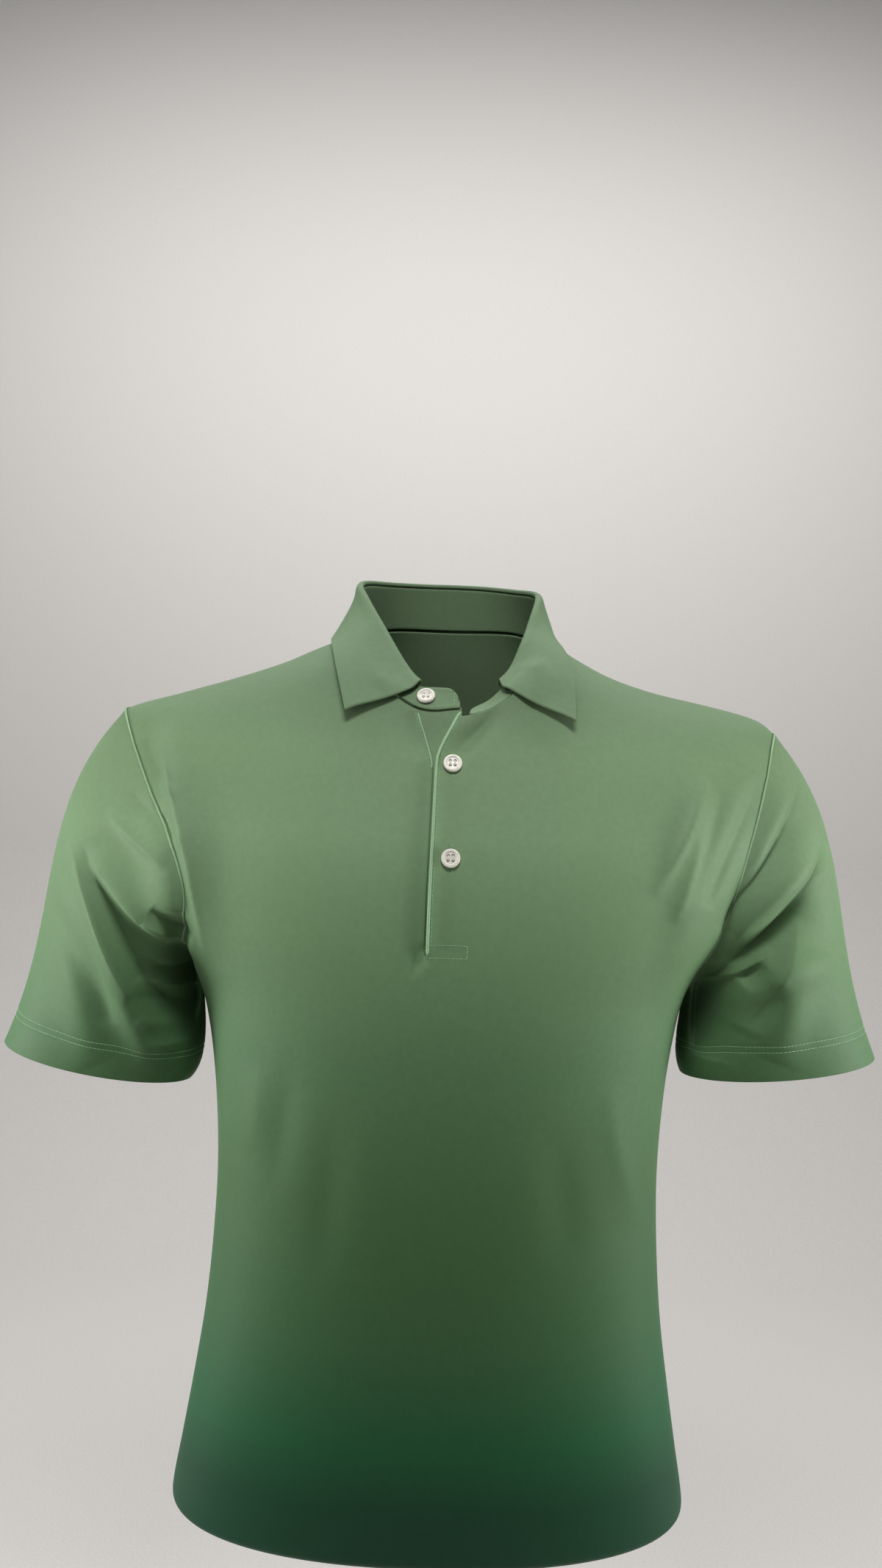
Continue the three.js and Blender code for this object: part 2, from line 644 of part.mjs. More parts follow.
// The leaf rises from the stand's top edge, rolls over and falls to its outer edge
function leafSection(share) {
  const half = share <= 0.5 ? share * 2 : (1 - share) * 2;
  const side = share <= 0.5 ? -1 : 1;
  const start = side < 0 ? frontNeckAt(LEAF_START.right) : frontNeckAt(LEAF_START.left);
  const passed = half <= 0.5 ? mix(start, 1, half * 2) : half * 2;
  const at = side < 0 ? passed : 4 - passed;
  const top = standPoint(at, 1, 1);
  const along = standPoint(at + NEAR, 1, 1).sub(standPoint(at - NEAR, 1, 1)).normalize();
  const up = top.clone().sub(standPoint(at, 0, 1));
  up.addScaledVector(along, -up.dot(along)).normalize();
  const outward = along.clone().cross(up).negate();
  const seat = top.clone().addScaledVector(up, LEAF_GAP).addScaledVector(outward, -WALL);
  const turned = seat.clone().addScaledVector(outward, ROLL_WIDTH).addScaledVector(up, -ROLL_DROP);
  const roll = [
    seat,
    seat.clone().addScaledVector(up, ROLL_RISE),
    turned.clone().addScaledVector(up, ROLL_RISE),
    turned,
  ];
  const edgeRow = side > 0 ? LEAF_LEFT : LEAF_RIGHT;
  const across = readTable(edgeRow, "at", half, "across");
  const over = readTable(edgeRow, "at", half, "over");
  const { point: below, normal } = surfaceFrame(risingPoint, across, over);
  const edge = below.addScaledVector(normal, readTable(edgeRow, "at", half, "lift"));
  const length = edge.distanceTo(turned);
  const sag = side > 0 ? LEAF_SAG.left : LEAF_SAG.right;
  const sagged = new THREE.Vector3(sag.x, 0, sag.z).multiplyScalar(smooth(1 - half / LEAF_SAG.fade));
  const fall = [
    turned,
    turned.clone().addScaledVector(up, -FALL_RUN.down * length).add(sagged),
    edge.clone().lerp(turned, FALL_RUN.in).addScaledVector(normal, FALL_RUN.bulge * length),
    edge,
  ];
  return { roll, fall };
}

const ROLL_STEPS = 4;
const FALL_STEPS = 7;

// Whether a place on the imagined whole surface lies inside the neck opening
function insideNeck(across, over) {
  if (across >= NECK_ACROSS) return false;
  const crossing = (neck) => {
    let low = 0;
    let high = 1;
    for (let step = 0; step < 20; step += 1) {
      const middle = (low + high) / 2;
      if (neck(middle)[0] < across) low = middle;
      else high = middle;
    }
    return neck(low)[1];
  };
  return over > crossing(frontNeck) && over < crossing(backNeck);
}

// Points with outward directions on what the leaf lies over: the stand and the body round the neck
function underLeaf() {
  const samples = [];
  for (let across = -0.26; across <= 0.26; across += 0.01) {
    for (let over = 0.36; over <= 1.56; over += 0.03) {
      if (!insideNeck(Math.abs(across), over)) samples.push(surfaceFrame(risingPoint, across, over));
    }
  }
  const standAt = (share, at) => standPoint(at, share, 1);
  for (let at = 0.05; at <= 3.95; at += 0.05) {
    for (let share = 0; share <= 0.9; share += 0.15) samples.push(surfaceFrame(standAt, share, at));
  }
  return samples;
}

// How far a point must move to lie clear of the nearest sample
function pushFrom(samples, point, clear) {
  let nearest = samples[0];
  for (const sample of samples) {
    if (sample.point.distanceToSquared(point) < nearest.point.distanceToSquared(point)) nearest = sample;
  }
  const short = COLLAR_WALL + clear - point.clone().sub(nearest.point).dot(nearest.normal);
  return nearest.normal.clone().multiplyScalar(Math.max(short, 0));
}

// Each point moves by its own push or, where that is more, by the mean of its neighbours' pushes
function pushClear(grid, samples) {
  const pushes = grid.map((row, r) => {
    const fromEnd = Math.min(r, grid.length - 1 - r) / grid.length;
    const clear = mix(LEAF_CLEAR, LEAF_END_CLEAR, smooth(1 - fromEnd / LEAF_END_SHARE));
    return row.map((point, i) => (i < ROLL_STEPS ? new THREE.Vector3() : pushFrom(samples, point, clear)));
  });
  grid.forEach((row, r) => row.forEach((point, i) => {
    const beside = [pushes[r - 1]?.[i], pushes[r + 1]?.[i], pushes[r][i - 1], pushes[r][i + 1]];
    const around = beside.filter(Boolean);
    const mean = around.reduce((sum, push) => sum.add(push), new THREE.Vector3());
    mean.divideScalar(around.length);
    const own = pushes[r][i];
    if (i >= ROLL_STEPS) point.add(own.length() > mean.length() ? own : mean);
  }));
}

function collarLeaf() {
  const rows = [];
  for (let column = 0; column <= LEAF_COLUMNS; column += 1) {
    const { roll, fall } = leafSection(column / LEAF_COLUMNS);
    const row = [];
    for (let step = 0; step < ROLL_STEPS; step += 1) row.push(bezierPoint(roll, step / ROLL_STEPS));
    for (let step = 0; step <= FALL_STEPS; step += 1) row.push(bezierPoint(fall, step / FALL_STEPS));
    rows.push(row);
  }
  const samples = underLeaf();
  for (let round = 0; round < PUSHES; round += 1) pushClear(rows, samples);
  return gridSheet(rows, true);
}

function bezierPoint(points, t) {
  return new THREE.Vector3(...bezier(points.map((p) => p.toArray()), t));
}

// The under placket lies behind both edges of the opening, its upper end behind the tab's lower edge
function underPlacket() {
  const rows = [];
  const bottom = overOfHeight(PLACKET_BOTTOM);
  for (let row = 0; row <= PLACKET_ROWS; row += 1) {
    const share = row / PLACKET_ROWS;
    const over = mix(bottom, FRONT_NECK_OVER, share);
    const z = risingPoint(0, over).z;
    const start = readTable(OPENING, "z", z, "right") - PLACKET_TUCK;
    const end = mix(PLACKET_END.bottom, PLACKET_END.top, share);
    const points = [];
    for (let column = 0; column <= PLACKET_COLUMNS; column += 1) {
      const { point, normal } = surfaceAt(mix(start, end, column / PLACKET_COLUMNS), z);
      points.push(point.addScaledVector(normal, -PLACKET_DROP));
    }
    rows.push(points);
  }
  rows.push(rows[PLACKET_ROWS].map(({ x }) => {
    const at = x <= 0 ? frontNeckAt(-x) : -frontNeckAt(x);
    const rise = standPoint(at, 1, 1).sub(neckSeam(at)).normalize();
    const inward = new THREE.Vector3(0, rise.z, -rise.y);
    return standPoint(at, 0, 1).addScaledVector(rise, PLACKET_RISE).addScaledVector(inward, PLACKET_DROP);
  }));
  return gridSheet(rows, false);
}

// Walls: each sheet gets thickness along normals shared with its neighbours at the seams
function sharedNormals(sheets) {
  const sums = new Map();
  const areas = new Map();
  for (const { points, triangles } of sheets) {
    for (const [a, b, c] of triangles) {
      const ab = points[b].clone().sub(points[a]);
      const area = ab.cross(points[c].clone().sub(points[a]));
      for (const i of [a, b, c]) {
        const key = placeKey(points[i]);
        if (!sums.has(key)) sums.set(key, new THREE.Vector3());
        sums.get(key).add(area);
        areas.set(key, (areas.get(key) ?? 0) + area.length());
      }
    }
  }
  return {
    direction: (point) => sums.get(placeKey(point)).clone().normalize(),
    mitre: (point) => {
      const key = placeKey(point);
      return Math.min(areas.get(key) / sums.get(key).length(), LONGEST_MITRE);
    },
  };
}

function boundaryEdges(triangles) {
  const edges = new Map();
  for (const t of triangles) {
    for (let i = 0; i < 3; i += 1) {
      const [a, b] = [t[i], t[(i + 1) % 3]];
      if (edges.has(b + "_" + a)) edges.delete(b + "_" + a);
      else edges.set(a + "_" + b, [a, b]);
    }
  }
  return [...edges.values()];
}

// The edge of a sheet steps back from its seam, square to the shared normal and, at a corner, from both edges
function seamSteps(points, edges, normals) {
  const sides = new Map();
  for (const [a, b] of edges) {
    for (const i of [a, b]) {
      const side = normals.direction(points[i]).cross(points[b].clone().sub(points[a])).normalize();
      sides.set(i, [...(sides.get(i) ?? []), side]);
    }
  }
  return new Map(
    [...sides].map(([i, [first, second]]) => {
      const spread = Math.max(1 + first.dot(second), SHARPEST_CORNER);
      return [i, first.clone().add(second).multiplyScalar(SEAM_STEP / spread)];
    }),
  );
}

function wallGeometry({ points, triangles }, normals, thickness) {
  const edges = boundaryEdges(triangles);
  const steps = seamSteps(points, edges, normals);
  const outer = points.map((point, i) => (steps.has(i) ? point.clone().add(steps.get(i)) : point));
  const inner = outer.map((point, i) => {
    const depth = thickness * normals.mitre(points[i]);
    return point.clone().addScaledVector(normals.direction(points[i]), -depth);
  });
  const count = points.length;
  const index = [
    ...triangles.flat(),
    ...triangles.flatMap(([a, b, c]) => [a + count, c + count, b + count]),
    ...edges.flatMap(([a, b]) => [b, a, a + count, b, a + count, b + count]),
  ];
  const geometry = new THREE.BufferGeometry().setFromPoints([...outer, ...inner]);
  geometry.setIndex(index);
  return geometry;
}

// Buttons: a turned disc with a raised rim, drilled with four holes
function toSolid(geometry) {
  const bare = geometry.clone();
  bare.deleteAttribute("normal");
  bare.deleteAttribute("uv");
  const merged = mergeVertices(bare, 1e-4);
  const vertProperties = new Float32Array(merged.attributes.position.array);
  return new wasm.Manifold(
    new wasm.Mesh({ numProp: 3, vertProperties, triVerts: new Uint32Array(merged.index.array) }),
  );
}

function fromSolid(solid) {
  const mesh = solid.getMesh();
  const geometry = new THREE.BufferGeometry();
  geometry.setAttribute("position", new THREE.BufferAttribute(new Float32Array(mesh.vertProperties), 3));
  geometry.setIndex(new THREE.BufferAttribute(new Uint32Array(mesh.triVerts), 1));
  return geometry;
}

function buttonGeometry() {
  const { radius, thick, rim, dish, bevel, hole, pitch } = BUTTON;
  const profile = [
    [0, 0],
    [radius - bevel, 0],
    [radius, bevel],
    [radius, thick - bevel],
    [radius - bevel, thick],
    [radius - rim, thick],
    [radius - rim - bevel, thick - dish],
    [0, thick - dish],
  ].map(([x, y]) => new THREE.Vector2(x, y));
  let solid = toSolid(new THREE.LatheGeometry(profile, BUTTON_SEGMENTS));
  for (const [sx, sz] of [[1, 1], [1, -1], [-1, 1], [-1, -1]]) {
    const drill = new THREE.CylinderGeometry(hole, hole, 3 * thick, HOLE_SEGMENTS);
    drill.translate(sx * pitch, 0, sz * pitch);
    solid = solid.subtract(toSolid(drill));
  }
  return fromSolid(solid);
}

// Puts a button's axis along a surface normal
function seatButton(mesh, point, normal, gap) {
  mesh.quaternion.setFromUnitVectors(new THREE.Vector3(0, 1, 0), normal);
  mesh.position.copy(point).addScaledVector(normal, gap);
}

// The shirt
const cloth = new THREE.MeshStandardMaterial({ color: CLOTH_COLOUR, roughness: 0.75, metalness: 0 });
const shell = new THREE.MeshStandardMaterial({ color: BUTTON_COLOUR, roughness: 0.4, metalness: 0 });

const shirt = new THREE.Group();

function addWall(name, sheet, normals, thickness) {
  const mesh = new THREE.Mesh(wallGeometry(sheet, normals, thickness), cloth);
  mesh.name = name;
  shirt.add(mesh);
}

const body = { front: frontPanel(), back: backPanel() };
for (const size of SLEEVES) body[size.name] = sleeve(size);
const bodyNormals = sharedNormals(Object.values(body));
for (const [name, sheet] of Object.entries(body)) addWall(name, sheet, bodyNormals, WALL);

const stand = collarStand();
addWall("collar_stand", stand, sharedNormals([stand]), WALL);
const leaf = collarLeaf();
addWall("collar", leaf, sharedNormals([leaf]), COLLAR_WALL);
const placket = underPlacket();
addWall("placket_under", placket, sharedNormals([placket]), WALL);

for (const { name, x, z } of BUTTONS) {
  const button = new THREE.Mesh(buttonGeometry(), shell);
  const { point, normal } = surfaceAt(x, z);
  button.name = name;
  seatButton(button, point, normal, BUTTON_GAP);
  shirt.add(button);
}

const tabButton = new THREE.Mesh(buttonGeometry(), shell);
tabButton.name = "button_top";
const tabAt = frontNeckAt(-TAB_BUTTON_X);
const tabPoint = standPoint(tabAt, 0.5, 1);
const tabUp = standPoint(tabAt, 1, 1).sub(standPoint(tabAt, 0, 1));
const tabAlong = standPoint(tabAt - NEAR, 0.5, 1).sub(tabPoint);
seatButton(tabButton, tabPoint, tabAlong.cross(tabUp).normalize(), TAB_BUTTON_GAP);
shirt.add(tabButton);

export default shirt;
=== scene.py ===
# %% [markdown]
# # A polo shirt as it hangs when worn
# The shirt is hollow, so every panel has to be a believable piece of cloth from both sides. The packed
# solids give its size and place. They are coarse on purpose, so each panel is built again here from the
# same few tables of sizes, about six times as fine, and then given its creases, rolled edges, sewing
# and cloth.

# %% Load the frame
import math
import bpy
import numpy as np
from mathutils import Matrix, Vector, kdtree


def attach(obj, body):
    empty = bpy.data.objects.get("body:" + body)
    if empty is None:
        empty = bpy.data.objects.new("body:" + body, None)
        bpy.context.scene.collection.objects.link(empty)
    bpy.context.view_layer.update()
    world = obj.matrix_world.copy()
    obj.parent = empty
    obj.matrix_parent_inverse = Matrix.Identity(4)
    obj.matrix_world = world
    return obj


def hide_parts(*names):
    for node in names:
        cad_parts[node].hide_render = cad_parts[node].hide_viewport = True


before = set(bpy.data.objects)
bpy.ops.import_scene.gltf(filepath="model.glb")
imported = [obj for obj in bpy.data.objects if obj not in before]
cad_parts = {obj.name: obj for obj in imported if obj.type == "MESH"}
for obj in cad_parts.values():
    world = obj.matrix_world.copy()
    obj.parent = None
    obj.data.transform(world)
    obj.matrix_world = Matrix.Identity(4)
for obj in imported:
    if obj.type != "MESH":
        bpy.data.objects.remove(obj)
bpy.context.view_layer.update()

MM = 0.001

# %% [markdown]
# ## The camera
# The photo was taken level with the lower chest, from close by, so the lens is wide: 27 mm on a 36 mm
# sensor held upright. The picture is turned a little, and the shirt stands a little right of its middle,
# which a small shift of the lens gives.

# %% Camera
CAMERA_PLACE = Vector((0, -0.818, -0.093))
CAMERA_ROLL = math.radians(1.8)
CAMERA_LENS = 27.0
CAMERA_SHIFT = (-0.0053, 0.0002)
SENSOR_WIDTH = 36


def add_camera():
    data = bpy.data.cameras.new("camera")
    data.lens = CAMERA_LENS
    data.sensor_width = SENSOR_WIDTH
    data.shift_x, data.shift_y = CAMERA_SHIFT
    camera = bpy.data.objects.new("camera", data)
    right = Vector((math.cos(CAMERA_ROLL), 0, math.sin(CAMERA_ROLL)))
    back = Vector((0, -1, 0))
    camera.matrix_world = Matrix((right, back.cross(right), back)).transposed().to_4x4()
    camera.location = CAMERA_PLACE
    bpy.context.scene.collection.objects.link(camera)
    bpy.context.scene.camera = camera


add_camera()
print("camera stands", round(-CAMERA_PLACE.y, 3), "m in front of the side seams")

# %% [markdown]
# ## Tables and smooth curves
# A pattern cutter keeps a shirt as a short list of measurements. Here each list is a table with named
# columns, in millimetres, and `read` draws a smooth curve through its rows, so that one function gives
# the size at any height.

# %% Tables
TINY = 1e-12


def table(names, *rows):
    return dict(zip(names.split(), np.array(rows, float).T))


def read(rows, key, at, field):
    keys, values = rows[key], rows[field]
    at = np.clip(at, keys[0], keys[-1])
    i = np.clip(np.searchsorted(keys, at, side="left") - 1, 0, len(keys) - 2)
    ahead = np.minimum(np.arange(len(keys)) + 1, len(keys) - 1)
    behind = np.maximum(np.arange(len(keys)) - 1, 0)
    slopes = (values[ahead] - values[behind]) / (keys[ahead] - keys[behind])
    run = keys[i + 1] - keys[i]
    t = (at - keys[i]) / run
    return hermite(values[i], slopes[i] * run, values[i + 1], slopes[i + 1] * run, t)


def hermite(start, start_run, end, end_run, t):
    return (
        (2 * t**3 - 3 * t**2 + 1) * start
        + (t**3 - 2 * t**2 + t) * start_run
        + (3 * t**2 - 2 * t**3) * end
        + (t**3 - t**2) * end_run
    )


def bezier(points, t):
    t = np.asarray(t, float)[..., None]
    s = 1 - t
    p = [np.asarray(q, float) for q in points]
    return s**3 * p[0] + 3 * s**2 * t * p[1] + 3 * s * t**2 * p[2] + t**3 * p[3]


def unit(vectors):
    return vectors / (np.linalg.norm(vectors, axis=-1)[..., None] + TINY)


def mix(a, b, t):
    return a + (b - a) * t


def smooth(value):
    held = np.clip(value, 0, 1)
    return held * held * (3 - 2 * held)


WALL = 1.4
COLLAR_WALL = 1.6
UNDERARM_Z = -228
HEM_TURN_Z = -577
RIDGE_Y = 8
SHOULDER_POWER = 2.6
NECK_RISE_BACK = 45
NECK_HALF_WIDTH = 74
NECK_DOME_POWER = 1.5
NECK_RISE_OVER = 0.15

TORSO = table(
    "z width front back square",
    (-620, 177, 82, 104, 2.25),
    (HEM_TURN_Z, 175, 88, 105, 2.3),
    (-540, 169, 93, 105, 2.35),
    (-500, 162.5, 97, 104, 2.4),
    (-450, 155.5, 99, 100, 2.4),
    (-400, 151.5, 101, 96, 2.4),
    (-350, 150, 105, 95, 2.4),
    (-300, 152.5, 111, 98, 2.4),
    (-260, 157.5, 115, 102, 2.4),
    (UNDERARM_Z, 165, 118, 105, 2.4),
    (-190, 185, 119, 108, 2.45),
    (-140, 206, 117, 109, 2.5),
    (-95, 226, 109, 105, 2.5),
    (-50, 240, 99, 98, 2.5),
    (0, 250, 93, 87, 2.5),
    (60, 254, 90, 80, 2.5),
)
RIDGE = table(
    "x z",
    (-260, -68),
    (-226, -47),
    (-187, -35),
    (-149, -23.5),
    (-116, -12),
    (-93, -1.5),
    (-70, 8),
    (-40, 20),
    (0, 26),
    (40, 20),
    (70, 5),
    (85, -4),
    (108, -15.5),
    (138, -25),
    (177, -33),
    (212, -42),
    (226, -52),
    (260, -74),
)
TURN_UNDER = table(
    "step inset z",
    (0, 20, -586),
    (1, 11, -587),
    (2, 4, -584.5),
    (3, 0.8, -581),
    (4, 0, HEM_TURN_Z),
)
print("chest is", 2 * read(TORSO, "z", UNDERARM_Z, "width"), "mm wide at the underarms")

# %% [markdown]
# ## The body surface
# Front, back and shoulders are one surface, named by two numbers. `across` runs from -1 at the wearer's
# right side seam to 1 at the left one. `over` starts at 0 at underarm level in front, is 1 on top of the
# shoulder and 2 at underarm level behind. The surface could be sculpted by eye, but this way every seam
# is a simple curve in those two numbers, and two panels that share a seam can't help but meet.

# %% Body surface
SETTLE_ROUNDS = 12


def section_depth(across, square):
    reach = np.abs(np.sin(across * np.pi / 2))
    return np.maximum(1 - reach**square, 0) ** (1 / square)


def rising_point(across, over):
    across, over = np.broadcast_arrays(np.asarray(across, float), np.asarray(over, float))
    behind = over > 1
    turn = np.minimum(over, 2 - over) * np.pi / 2
    rise = np.maximum(np.sin(turn), 0) ** (2 / SHOULDER_POWER)
    depth_left = np.maximum(np.cos(turn), 0) ** (2 / SHOULDER_POWER)
    reach = np.sin(across * np.pi / 2)
    z = np.full(across.shape, float(UNDERARM_Z))
    for _ in range(SETTLE_ROUNDS):
        x = read(TORSO, "z", z, "width") * reach
        in_neck = np.clip(1 - (x / NECK_HALF_WIDTH) ** 2, 0, 1) ** NECK_DOME_POWER
        top = read(RIDGE, "x", x, "z") + NECK_RISE_BACK * in_neck * smooth((over - 1) / NECK_RISE_OVER)
        z = UNDERARM_Z + (top - UNDERARM_Z) * rise
    depth = np.where(behind, read(TORSO, "z", z, "back"), -read(TORSO, "z", z, "front"))
    round_off = section_depth(across, read(TORSO, "z", z, "square"))
    return np.stack([x, RIDGE_Y * (1 - depth_left) + depth * round_off * depth_left, z], -1)


def level_point(across, z, behind, inset):
    across, z, inset = np.broadcast_arrays(*(np.asarray(v, float) for v in (across, z, inset)))
    depth = read(TORSO, "z", z, "back" if behind else "front") - inset
    round_off = section_depth(across, read(TORSO, "z", z, "square"))
    x = (read(TORSO, "z", z, "width") - inset) * np.sin(across * np.pi / 2)
    return np.stack([x, depth * round_off * (1 if behind else -1), z], -1)


def over_of_height(z):
    top = read(RIDGE, "x", 0.0, "z")
    rise = np.clip((z - UNDERARM_Z) / (top - UNDERARM_Z), 0, 1)
    return np.arcsin(rise ** (SHOULDER_POWER / 2)) * 2 / np.pi


def across_at(x, over):
    across = np.zeros(np.broadcast(x, over).shape)
    for _ in range(SETTLE_ROUNDS):
        z = rising_point(across, over)[..., 2]
        across = np.arcsin(x / read(TORSO, "z", z, "width")) * 2 / np.pi
    return across


print("the shoulder line's middle is", round(float(rising_point(0, 1)[2]), 1), "mm above the neck's middle")

# %% [markdown]
# ## Drape
# Jersey hangs in long soft folds where it is pulled: from the shoulder down to the underarm, and round
# the upper arm. A fold is a bent line in the front view with a height, and it falls off at its own pace
# on either side, because a pulled fold is steep below and soft above. Negative heights are troughs, and
# a power near 1 makes the line itself sharp, like the crease between two rolls of cloth. The broad folds
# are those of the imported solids; the finer creases are only here, and fade out sooner round the sides.
# A cloth simulation could find folds too, but not these ones, and not the same ones on each run.

# %% Folds
FOLD_COLUMNS = "x1 z1 x2 z2 bend height above below power"
FRONT_FOLDS = table(
    FOLD_COLUMNS,
    (206, -62, 158, -212, -6, 7, 16, 10, 2),
    (168, -72, 146, -240, -5, 4, 14, 13, 2),
    (-200, -66, -158, -262, 7, 9, 11, 16, 2),
    (-172, -80, -146, -225, 3, 3.5, 14, 15, 2),
    (246, -78, 186, -184, -12, 8, 18, 9, 2),
    (272, -136, 172, -218, -20, 12, 22, 10, 2),
    (262, -205, 178, -236, -12, 6, 13, 12, 2),
    (218, -268, 244, -192, 3, 6, 15, 14, 2),
    (-262, -118, -178, -246, 12, 8, 18, 11, 2),
    (-268, -152, -184, -292, 12, 10, 20, 11, 2),
    (-262, -190, -226, -284, 6, 5, 12, 14, 2),
)
BACK_FOLDS = table(
    FOLD_COLUMNS,
    (205, -70, 160, -215, -6, 6, 16, 10, 2),
    (266, -136, 176, -222, -16, 9, 20, 10, 2),
    (252, -205, 180, -250, -10, 6, 14, 12, 2),
    (-204, -66, -160, -220, 6, 6, 10, 16, 2),
    (-264, -134, -178, -228, 14, 8.5, 19, 10, 2),
    (-258, -176, -202, -282, 8, 6, 14, 14, 2),
    (52, -230, 28, -430, 6, 4, 20, 20, 2),
    (-58, -220, -32, -410, -6, 4, 20, 20, 2),
)
FRONT_CREASES = table(
    FOLD_COLUMNS,
    # the wearer's left sleeve: two deep creases from the top, a sharp ridge and a dimple above the hem
    (238, -74, 174, -180, 5, -10, 4, 9, 1.1),
    (267, -105, 178, -216, 4, -13, 4.5, 12, 1.1),
    (213, -194, 164, -224, 2.7, 7, 7, 3, 1.1),
    (208, -204, 195, -217, 0, -7, 6, 6, 1.6),
    (231, -173, 194, -249, 4.9, 7, 9, 13, 1.4),
    (214, -214, 200, -246, 2, -6, 8, 8, 1.8),
    (177, -205, 172, -270, 0, -18, 4, 14, 2),
    # below the wearer's left shoulder
    (203, -80, 161, -165, 0, -8, 6, 7, 1.3),
    (164, -84, 127, -158, 2.9, 5, 5, 4, 1.2),
    (160, -112, 141, -174, 2.9, 4, 4, 4, 1.2),
    (174, -90, 146, -164, 2, -4, 4, 6, 1.3),
    # the drape over the wearer's right armhole, and the pocket beside it
    (-196, -58, -150, -208, 7, 9, 11, 3, 1.2),
    (-201, -68, -180, -114, 2, -8, 3, 8, 1.2),
    (-190, -60, -174, -112, 1, 3, 5, 3, 1.4),
    (-166, -178, -172, -270, 0, -20, 18, 4, 2),
    # the wearer's right sleeve
    (-250, -134, -176, -278, 1, 10, 3.5, 12, 1.1),
    (-238, -138, -167, -270, 1, -13, 14, 5, 1.2),
    (-230, -148, -158, -210, -4.7, 8, 8, 3, 1.1),
    (-222, -158, -160, -214, -4, -5, 4, 8, 1.3),
    (-241, -167, -213, -254, 3.6, -6, 6, 9, 1.5),
    (-222, -118, -176, -150, -1, 4.5, 6, 3, 1.2),
    (-206, -104, -176, -128, -1, -3, 5, 5, 1.4),
    (-188, -108, -170, -134, 0, -4, 4, 5, 1.3),
    (-184, -177, -158, -194, 0, -7, 3, 4, 1.2),
    (-190, -187, -158, -206, 0, 6, 4, 3, 1.2),
    (-196, -212, -160, -228, 1, -7, 3, 5, 1.2),
    (-196, -224, -160, -241, 1, 6, 5, 3, 1.2),
    (-200, -234, -166, -248, 1, -5, 5, 6, 1.4),
    (-196, -250, -168, -262, 1, 3.5, 5, 5, 1.6),
    # beside and below the opening
    (30, -42, -5, -80, 2, -4.5, 8, 6, 1.5),
    (22, -38, 0, -62, 2, 2, 5, 5, 1.8),
    (-28, -48, -16, -78, 0, -1.6, 7, 7, 2),
    (-19, -207, -12, -188, 0, -2, 3, 4, 1.5),
    (-17, -214, -11, -199, 0, 1.5, 3, 3, 1.8),
    # the lower body
    (-113, -272, -118, -330, 0, 2, 8, 10, 1.6),
    (-92, -262, -104, -356, 2, -1.4, 9, 9, 1.8),
    (104, -272, 134, -378, -3, 2.2, 8, 10, 1.6),
    (70, -300, 84, -390, 0, -1.4, 12, 12, 2),
    (-60, -290, -70, -400, 0, -1.4, 12, 12, 2),
)
BACK_CREASES = table(
    FOLD_COLUMNS,
    (236, -90, 180, -178, 6, -6, 8, 8, 1.2),
    (252, -126, 184, -216, 5, -9, 9, 12, 1.15),
    (206, -200, 172, -232, 2, 4, 7, 5, 1.3),
    (-240, -88, -182, -180, -6, -6, 8, 8, 1.2),
    (-254, -126, -184, -220, -6, -9, 12, 9, 1.15),
    (-226, -176, -170, -226, -3, 4, 7, 6, 1.3),
    (178, -96, 138, -178, -4, 3.6, 10, 8, 1.4),
    (-180, -92, -140, -182, 4, 3.6, 8, 10, 1.4),
    (86, -186, 58, -334, 4, 2.6, 12, 12, 1.7),
    (-92, -196, -60, -352, -4, 2.6, 12, 12, 1.7),
    (20, -292, 6, -470, 3, 2, 12, 12, 1.8),
)
FOLD_START = 10
FOLD_FADE, CREASE_FADE = 40, 22
FOLD_TAPER = 0.8
FOLD_LAYERS = ((BACK_FOLDS, FRONT_FOLDS, FOLD_FADE), (BACK_CREASES, FRONT_CREASES, CREASE_FADE))


def fold_height(folds, x, z):
    total = np.zeros_like(x)
    for fold in zip(*(folds[name] for name in FOLD_COLUMNS.split())):
        x1, z1, x2, z2, bend, height, above, below, power = fold
        run_x, run_z = x2 - x1, z2 - z1
        length = math.hypot(run_x, run_z)
        t = np.clip(((x - x1) * run_x + (z - z1) * run_z) / length**2, 0, 1)
        sideways = ((x - x1) * -run_z + (z - z1) * run_x) / length
        off = sideways - bend * 4 * t * (1 - t)
        upward = off if run_x > 0 else -off
        softness = np.where(upward > 0, above, below)
        total += height * np.sin(np.pi * t) ** FOLD_TAPER * np.exp(-(np.abs(off / softness) ** power))
    return total


def with_folds(points):
    x, y, z = points[..., 0], points[..., 1], points[..., 2]
    depth = y - RIDGE_Y
    moved = points.copy()
    for behind, before, fade in FOLD_LAYERS:
        moved[..., 1] += smooth((depth - FOLD_START) / fade) * fold_height(behind, x, z)
        moved[..., 1] -= smooth((-depth - FOLD_START) / fade) * fold_height(before, x, z)
    return moved


for kind, (behind, before, _) in zip(("broad folds", "creases"), FOLD_LAYERS):
    print(len(before["x1"]), kind, "in front and", len(behind["x1"]), "behind")

# %% [markdown]
# ## Seam lines
# The armholes, the neck seam and the shoulder seams, as curves in `across` and `over`. The shoulder seam
# lies a little in front of the top line, as it does on most polo shirts.

